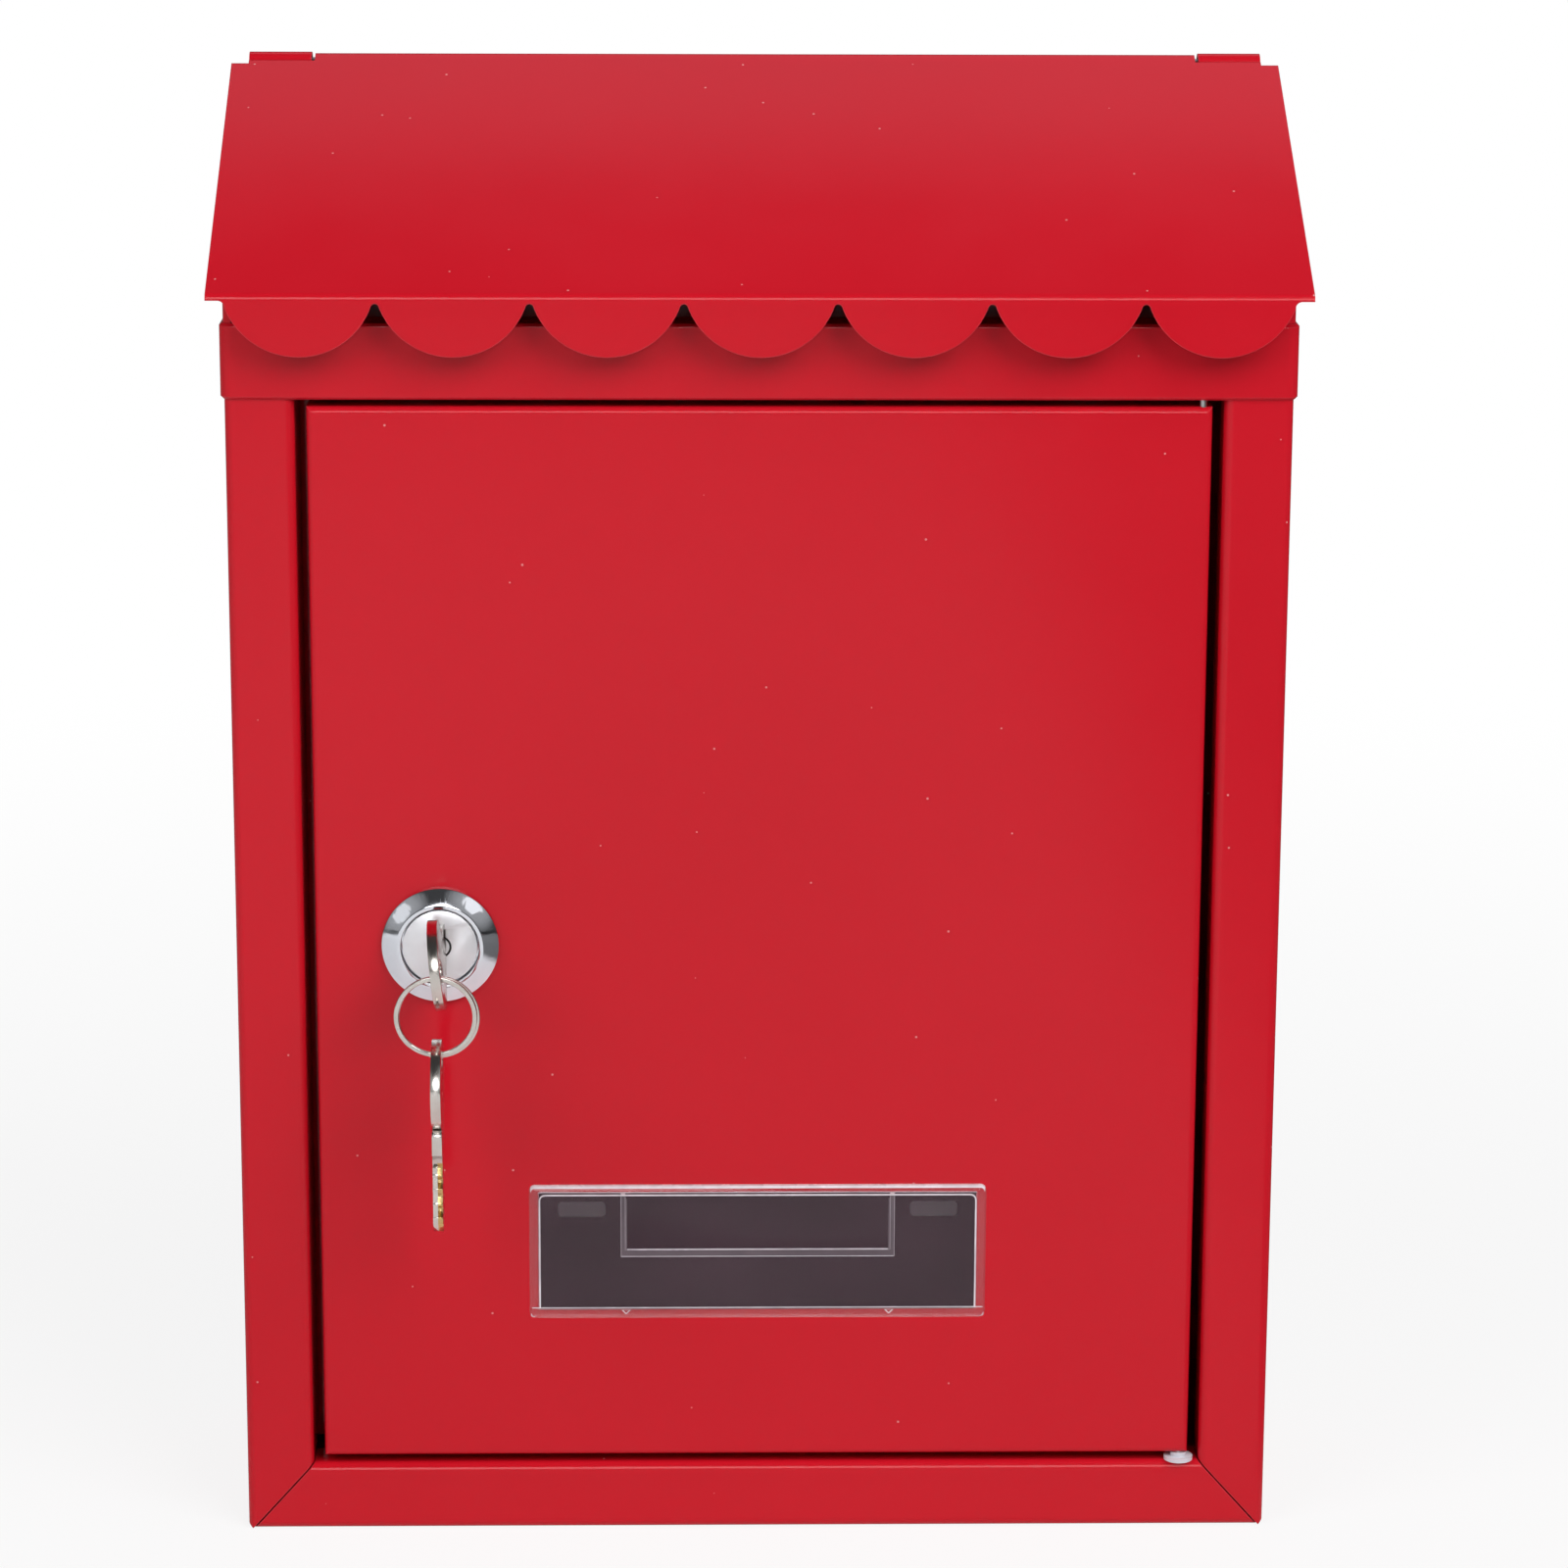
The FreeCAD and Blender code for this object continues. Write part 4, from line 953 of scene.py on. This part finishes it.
@dataclass
class KeySet:
    """Both keys and the split ring. Sizes are in millimetres."""

    key_bevel: float = 0.28
    key_angle: float = 60.0
    key_crease: float = 40.0
    blade_half: float = 3.5
    brass_length: float = 15.4
    brass_offset: float = 1.4
    wire_radial: float = 1.0
    wire_axial: float = 0.62
    turn_gap: float = 0.06
    wire_bevel: float = 0.2
    wire_bevel_rows: int = 3
    wire_crease: float = 60.0
    flat_turn: float = 330.0
    flat_steps: int = 144
    jog_turn: float = 30.0
    jog_steps: int = 12
    start_angle: float = 131.0
    second_turn_shift: float = 0.32
    second_turn_drop: float = 0.192
    bow_tilt: float = 5.5
    bow_start: float = 0.2
    bitting_length: float = 11.4
    bitting_rise: float = 2.6
    bitting_depth: float = 1.9
    bitting_side_sink: float = 0.05
    bitting_front_sink: float = 0.03

    def build(self, finishes: Finishes) -> None:
        """Build both keys and the ring."""
        self.add_key("key", "door_key", finishes)
        self.add_key("spare_key", "hung_key", finishes)
        self.add_plain_half(finishes)
        self.add_ring(finishes)

    def add_key(self, node: str, name: str, finishes: Finishes) -> None:
        """Build one key from its solid: soft edges, and bare brass where it was cut.

        Args:
            node: The key's CAD node.
            name: The new piece's name.
            finishes: The finishes.
        """
        low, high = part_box(node)
        middle = (low.x + high.x) / 2
        mesh = copy_node(node)
        soften(mesh, self.key_bevel * MM, self.key_angle)
        cut_flat(mesh, Vector((middle, 0.0, 0.0)), Axis.X)
        if node == "key":
            self.tilt_bow(mesh)
        else:
            self.turn_front_to_back(mesh, (low + high) / 2)
        for face in mesh.faces:
            spot = face.calc_center_median()
            face.material_index = int(self.is_cut(node, spot, low, high, middle))
        body = "key" if node == "key" else "spare"
        piece = finish_mesh(name, mesh, [finishes.nickel, finishes.brass], self.key_crease)
        hand_over(piece, body, "nickel_key", node)

    def add_plain_half(self, finishes: Finishes) -> None:
        """Fill the notches on the hung key's left half, which the cutter left standing."""
        low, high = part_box("spare_key")
        middle = (low.x + high.x) / 2
        blade_front = (low.y + high.y) / 2 - self.blade_half * MM
        foot = low.z + self.bitting_rise * MM
        mesh = upright_sheet(low.x + self.bitting_side_sink * MM, middle, foot,
                             foot + self.bitting_length * MM,
                             blade_front + self.bitting_front_sink * MM)
        thicken(mesh, self.bitting_depth * MM)
        hand_over(finish_mesh("plain_half", mesh, [finishes.nickel]), "spare", "nickel_key")

    @staticmethod
    def turn_front_to_back(mesh: BMesh, middle: Vector) -> None:
        """Mirror the hung key front to back, so that its notches face forward."""
        bmesh.ops.translate(mesh, verts=mesh.verts, vec=-middle)
        bmesh.ops.scale(mesh, verts=mesh.verts, vec=(1.0, -1.0, 1.0))
        bmesh.ops.reverse_faces(mesh, faces=mesh.faces)
        bmesh.ops.translate(mesh, verts=mesh.verts, vec=middle)

    def tilt_bow(self, mesh: BMesh) -> None:
        """Turn the part of the key in front of the plug a little about the plug's axis."""
        low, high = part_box("lock_plug")
        centre = (low + high) / 2
        start = low.y - self.bow_start * MM
        outside = [vert for vert in mesh.verts if vert.co.y < start]
        turn = Matrix.Rotation(math.radians(-self.bow_tilt), 3, Axis.Y.vector)
        bmesh.ops.rotate(mesh, verts=outside, cent=centre, matrix=turn)

    def is_cut(self, node: str, spot: Vector, low: Vector, high: Vector, middle: float) -> bool:
        """Tell whether a face lies in the notched, brass half of a blade's edge."""
        if spot.x < middle:
            return False
        reach = self.brass_length * MM
        offset = self.brass_offset * MM
        if node == "key":
            return spot.y > high.y - reach and spot.z > (low.z + high.z) / 2 + offset
        return spot.z < low.z + reach and spot.y < (low.y + high.y) / 2 - offset

    def add_ring(self, finishes: Finishes) -> None:
        """Wind the split ring: one turn, a jog and a second turn beside the first."""
        low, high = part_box("key_ring")
        centre = (low + high) / 2
        radius = (high.x - low.x) / 2 - self.wire_radial / 2 * MM
        pitch = (self.wire_axial + self.turn_gap) * MM
        mesh = bmesh.new()
        bmesh.ops.create_grid(mesh, x_segments=1, y_segments=1, size=0.5)
        bmesh.ops.scale(mesh, verts=mesh.verts,
                        vec=(self.wire_radial * MM, self.wire_axial * MM, 1.0))
        round_corners(mesh, self.wire_bevel * MM, self.wire_bevel_rows)
        bmesh.ops.translate(mesh, verts=mesh.verts, vec=(radius, 0.0, 0.0))
        bmesh.ops.rotate(mesh, verts=mesh.verts,
                         matrix=Matrix.Rotation(math.radians(self.start_angle), 3, Axis.Y.vector))
        end = mesh.faces[:]
        flat = math.radians(self.flat_turn)
        jog = math.radians(self.jog_turn)
        beside = Vector((self.second_turn_shift * MM, pitch, -self.second_turn_drop * MM))
        runs = ((flat, self.flat_steps, Vector()), (jog, self.jog_steps, beside),
                (flat, self.flat_steps, Vector()))
        middle = Vector()
        for angle, steps, move in runs:
            made = bmesh.ops.spin(mesh, geom=end, cent=middle, axis=Axis.Y.vector,
                                  dvec=move / steps, angle=angle, steps=steps)
            end = made["geom_last"]
            middle = middle + move
        bmesh.ops.translate(mesh, verts=mesh.verts, vec=centre - beside * 0.5)
        piece = finish_mesh("split_ring", mesh, [finishes.nickel], self.wire_crease)
        hand_over(piece, "ring", "chrome", "key_ring")


# Studio


@dataclass(frozen=True)
class Lobe:
    """A soft bright patch of the surroundings that only mirrors show."""

    aim: Triple
    start: float
    full: float
    strength: float

    def build(self, tree: NodeTree) -> NodeSocket:
        """Add the patch to the world's node tree and give the socket with its strength."""
        place = tree.nodes.new("ShaderNodeTexCoord")
        match = add_match(tree, place.outputs["Generated"])
        match.inputs[1].default_value = Vector(self.aim).normalized()
        fade = add_span(tree, match.outputs["Value"], (self.start, self.full),
                        (0.0, self.strength), smooth=True)
        return fade.outputs["Result"]


@dataclass(frozen=True)
class SoftBox:
    """A rectangular area light that faces a target. Sizes are in metres, power in watts."""

    name: str
    spot: Triple
    target: Triple
    sides: tuple[float, float]
    power: float
    colour: Triple = (1.0, 1.0, 1.0)
    mirrored: bool = False

    def build(self) -> None:
        """Hang the light."""
        lamp = bpy.data.lights.new(self.name, "AREA")
        lamp.shape = "RECTANGLE"
        lamp.size, lamp.size_y = self.sides
        lamp.energy = self.power
        lamp.color = self.colour
        thing = bpy.data.objects.new(self.name, lamp)
        thing.location = self.spot
        aim = Vector(self.target) - Vector(self.spot)
        thing.rotation_euler = aim.to_track_quat("-Z", "Y").to_euler()
        thing.visible_glossy = self.mirrored
        bpy.context.collection.objects.link(thing)
        LOG.info("%s of %.2f W", self.name, self.power)


@dataclass
class Studio:
    """The floor, the soft lights and the camera of the photograph's view.

    The eye and the sensor are in millimetres, angles in degrees, the floor in metres.
    """

    eye: Triple = (-16.77, -1019.88, 400.99)
    yaw: float = 1.2658
    pitch: float = 13.8588
    roll: float = 0.2547
    focal_pixels: float = 5190.54
    frame_pixels: float = 1600.0
    sensor: float = 36.0
    clip: tuple[float, float] = (0.01, 100.0)
    floor_half: float = 9.0
    floor_shade: Triple = (0.86, 0.86, 0.86)
    floor_rough: float = 0.9
    floor_near: float = 0.86
    floor_fade: tuple[float, float] = (0.15, 0.80)
    dark_span: tuple[float, float] = (0.10, 0.17)
    dark_share: float = 0.8
    world_shade: Triple = (0.99, 0.995, 1.0)
    world_soft: float = 0.10
    world_gloss: float = 0.05
    lobes: tuple[Lobe, ...] = (
        Lobe((-0.69, -0.655, 0.315), 0.80, 0.99, 0.36),
        Lobe((-0.69, -0.655, 0.315), 0.975, 0.985, 0.80),
        Lobe((0.549, -0.68, 0.486), 0.80, 0.99, 0.36),
        Lobe((0.549, -0.68, 0.486), 0.970, 0.985, 1.00),
        Lobe((0.0, -0.95, 0.30), 0.965, 0.985, 6.00),
    )
    boxes: tuple[SoftBox, ...] = (
        SoftBox("key_box", (0.85, -1.05, 1.35), (0.0, -0.03, 0.14), (1.2, 1.2), 24.4),
        SoftBox("fill_box", (-1.15, -1.10, 1.25), (0.0, -0.03, 0.14), (1.2, 1.2), 15.6),
        SoftBox("rear_box", (0.0, 0.345, 0.70), (0.0, 0.21, 0.0), (0.6, 0.22), 0.32,
                (0.80, 0.86, 1.0), mirrored=True),
    )

    def build(self) -> None:
        """Set up the stage."""
        self.add_floor()
        self.add_world()
        for box in self.boxes:
            box.build()
        self.add_camera()
        bpy.context.scene.view_settings.view_transform = "Standard"

    def add_floor(self) -> None:
        """Lay a plain pale floor under the post box."""
        mesh = bmesh.new()
        bmesh.ops.create_grid(mesh, x_segments=1, y_segments=1, size=self.floor_half)
        floor = finish_mesh("studio_floor", mesh, [self.floor_material()])

    def floor_material(self) -> Material:
        """Build the floor's pale finish, which fades to white away from the post box."""
        material, shader = start_material("pale_floor")
        tree = material.node_tree
        shader.inputs["Base Color"].default_value = (*self.floor_shade, 1.0)
        shader.inputs["Roughness"].default_value = self.floor_rough
        place = tree.nodes.new("ShaderNodeTexCoord")
        reach = tree.nodes.new("ShaderNodeVectorMath")
        reach.operation = "LENGTH"
        tree.links.new(place.outputs["Object"], reach.inputs[0])
        fade = add_span(tree, reach.outputs["Value"], self.floor_fade, (self.floor_near, 1.0),
                        smooth=True)
        path = tree.nodes.new("ShaderNodeLightPath")
        seen = add_math(tree, "MAXIMUM", path.outputs["Is Camera Ray"],
                        path.outputs["Is Transmission Ray"])
        share = add_math(tree, "MULTIPLY", seen, fade.outputs["Result"])
        pale = self.mix_glow(tree, share, shader.outputs["BSDF"], 1.0)
        mirrored = self.mix_glow(tree, self.mirrored_share(tree, place, path), pale, 0.0)
        tree.links.new(mirrored, tree.nodes["Material Output"].inputs["Surface"])
        return material

    @staticmethod
    def mix_glow(tree: NodeTree, share: NodeSocket, below: NodeSocket, level: float) -> NodeSocket:
        """Mix an even grey glow over a shader.

        Args:
            tree: The floor's node tree.
            share: The socket with the glow's share.
            below: The shader that shows where the share is 0.
            level: How bright the glow is, from black at 0 to white at 1.

        Returns:
            The socket with the mixed shader.
        """
        glow = tree.nodes.new("ShaderNodeEmission")
        glow.inputs["Color"].default_value = (level, level, level, 1.0)
        mix = tree.nodes.new("ShaderNodeMixShader")
        tree.links.new(share, mix.inputs[0])
        tree.links.new(below, mix.inputs[1])
        tree.links.new(glow.outputs["Emission"], mix.inputs[2])
        return mix.outputs["Shader"]

    def mirrored_share(self, tree: NodeTree, place: Node, path: Node) -> NodeSocket:
        """Give the share by which mirrored floor turns dark, to the right of the post box.

        Args:
            tree: The floor's node tree.
            place: The texture coordinates.
            path: The light path.

        Returns:
            The socket with the share.
        """
        split = tree.nodes.new("ShaderNodeSeparateXYZ")
        tree.links.new(place.outputs["Object"], split.inputs["Vector"])
        side = add_span(tree, split.outputs["X"], self.dark_span, (0.0, self.dark_share),
                        smooth=True)
        return add_math(tree, "MULTIPLY", path.outputs["Is Glossy Ray"], side.outputs["Result"])

    def add_world(self) -> None:
        """Surround the scene with soft light that the camera sees as white."""
        world = bpy.data.worlds.new("studio_world")
        bpy.context.scene.world = world
        world.use_nodes = True
        tree = world.node_tree
        ground = tree.nodes["Background"]
        ground.inputs["Color"].default_value = (*self.world_shade, 1.0)
        path = tree.nodes.new("ShaderNodeLightPath")
        gloss = add_span(tree, path.outputs["Is Glossy Ray"], (0.0, 1.0),
                         (self.world_soft, self.world_gloss))
        level = add_math(tree, "MAXIMUM", gloss.outputs["Result"], path.outputs["Is Camera Ray"])
        for lobe in self.lobes:
            seen = add_math(tree, "MULTIPLY", path.outputs["Is Glossy Ray"], lobe.build(tree))
            level = add_math(tree, "MAXIMUM", level, seen)
        tree.links.new(level, ground.inputs["Strength"])

    def add_camera(self) -> None:
        """Set the camera at the photograph's place and angle."""
        yaw, pitch, roll = (math.radians(angle) for angle in (self.yaw, self.pitch, self.roll))
        ahead = Vector((math.sin(yaw) * math.cos(pitch), math.cos(yaw) * math.cos(pitch),
                        -math.sin(pitch)))
        right = Vector((math.cos(yaw), -math.sin(yaw), 0.0))
        up = right.cross(ahead)
        level_right = right * math.cos(roll) + up * math.sin(roll)
        level_up = up * math.cos(roll) - right * math.sin(roll)
        data = bpy.data.cameras.new("photo_camera")
        data.sensor_width = self.sensor
        data.sensor_fit = "HORIZONTAL"
        data.lens = self.focal_pixels / self.frame_pixels * self.sensor
        data.clip_start, data.clip_end = self.clip
        camera = bpy.data.objects.new("photo_camera", data)
        turn = Matrix((level_right, level_up, -ahead)).transposed().to_4x4()
        camera.matrix_world = Matrix.Translation(Vector(self.eye) * MM) @ turn
        bpy.context.collection.objects.link(camera)
        bpy.context.scene.camera = camera


def main() -> None:
    """Build every sub-assembly in order and report it."""
    logging.basicConfig(level=logging.INFO, format="%(name)s: %(message)s")
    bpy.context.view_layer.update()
    finishes = Finishes()
    for part in (Housing(), Lid(), Door(), NamePlate(), Lock(), KeySet()):
        part.build(finishes)
    Studio().build()


if __name__ == "__main__":
    main()
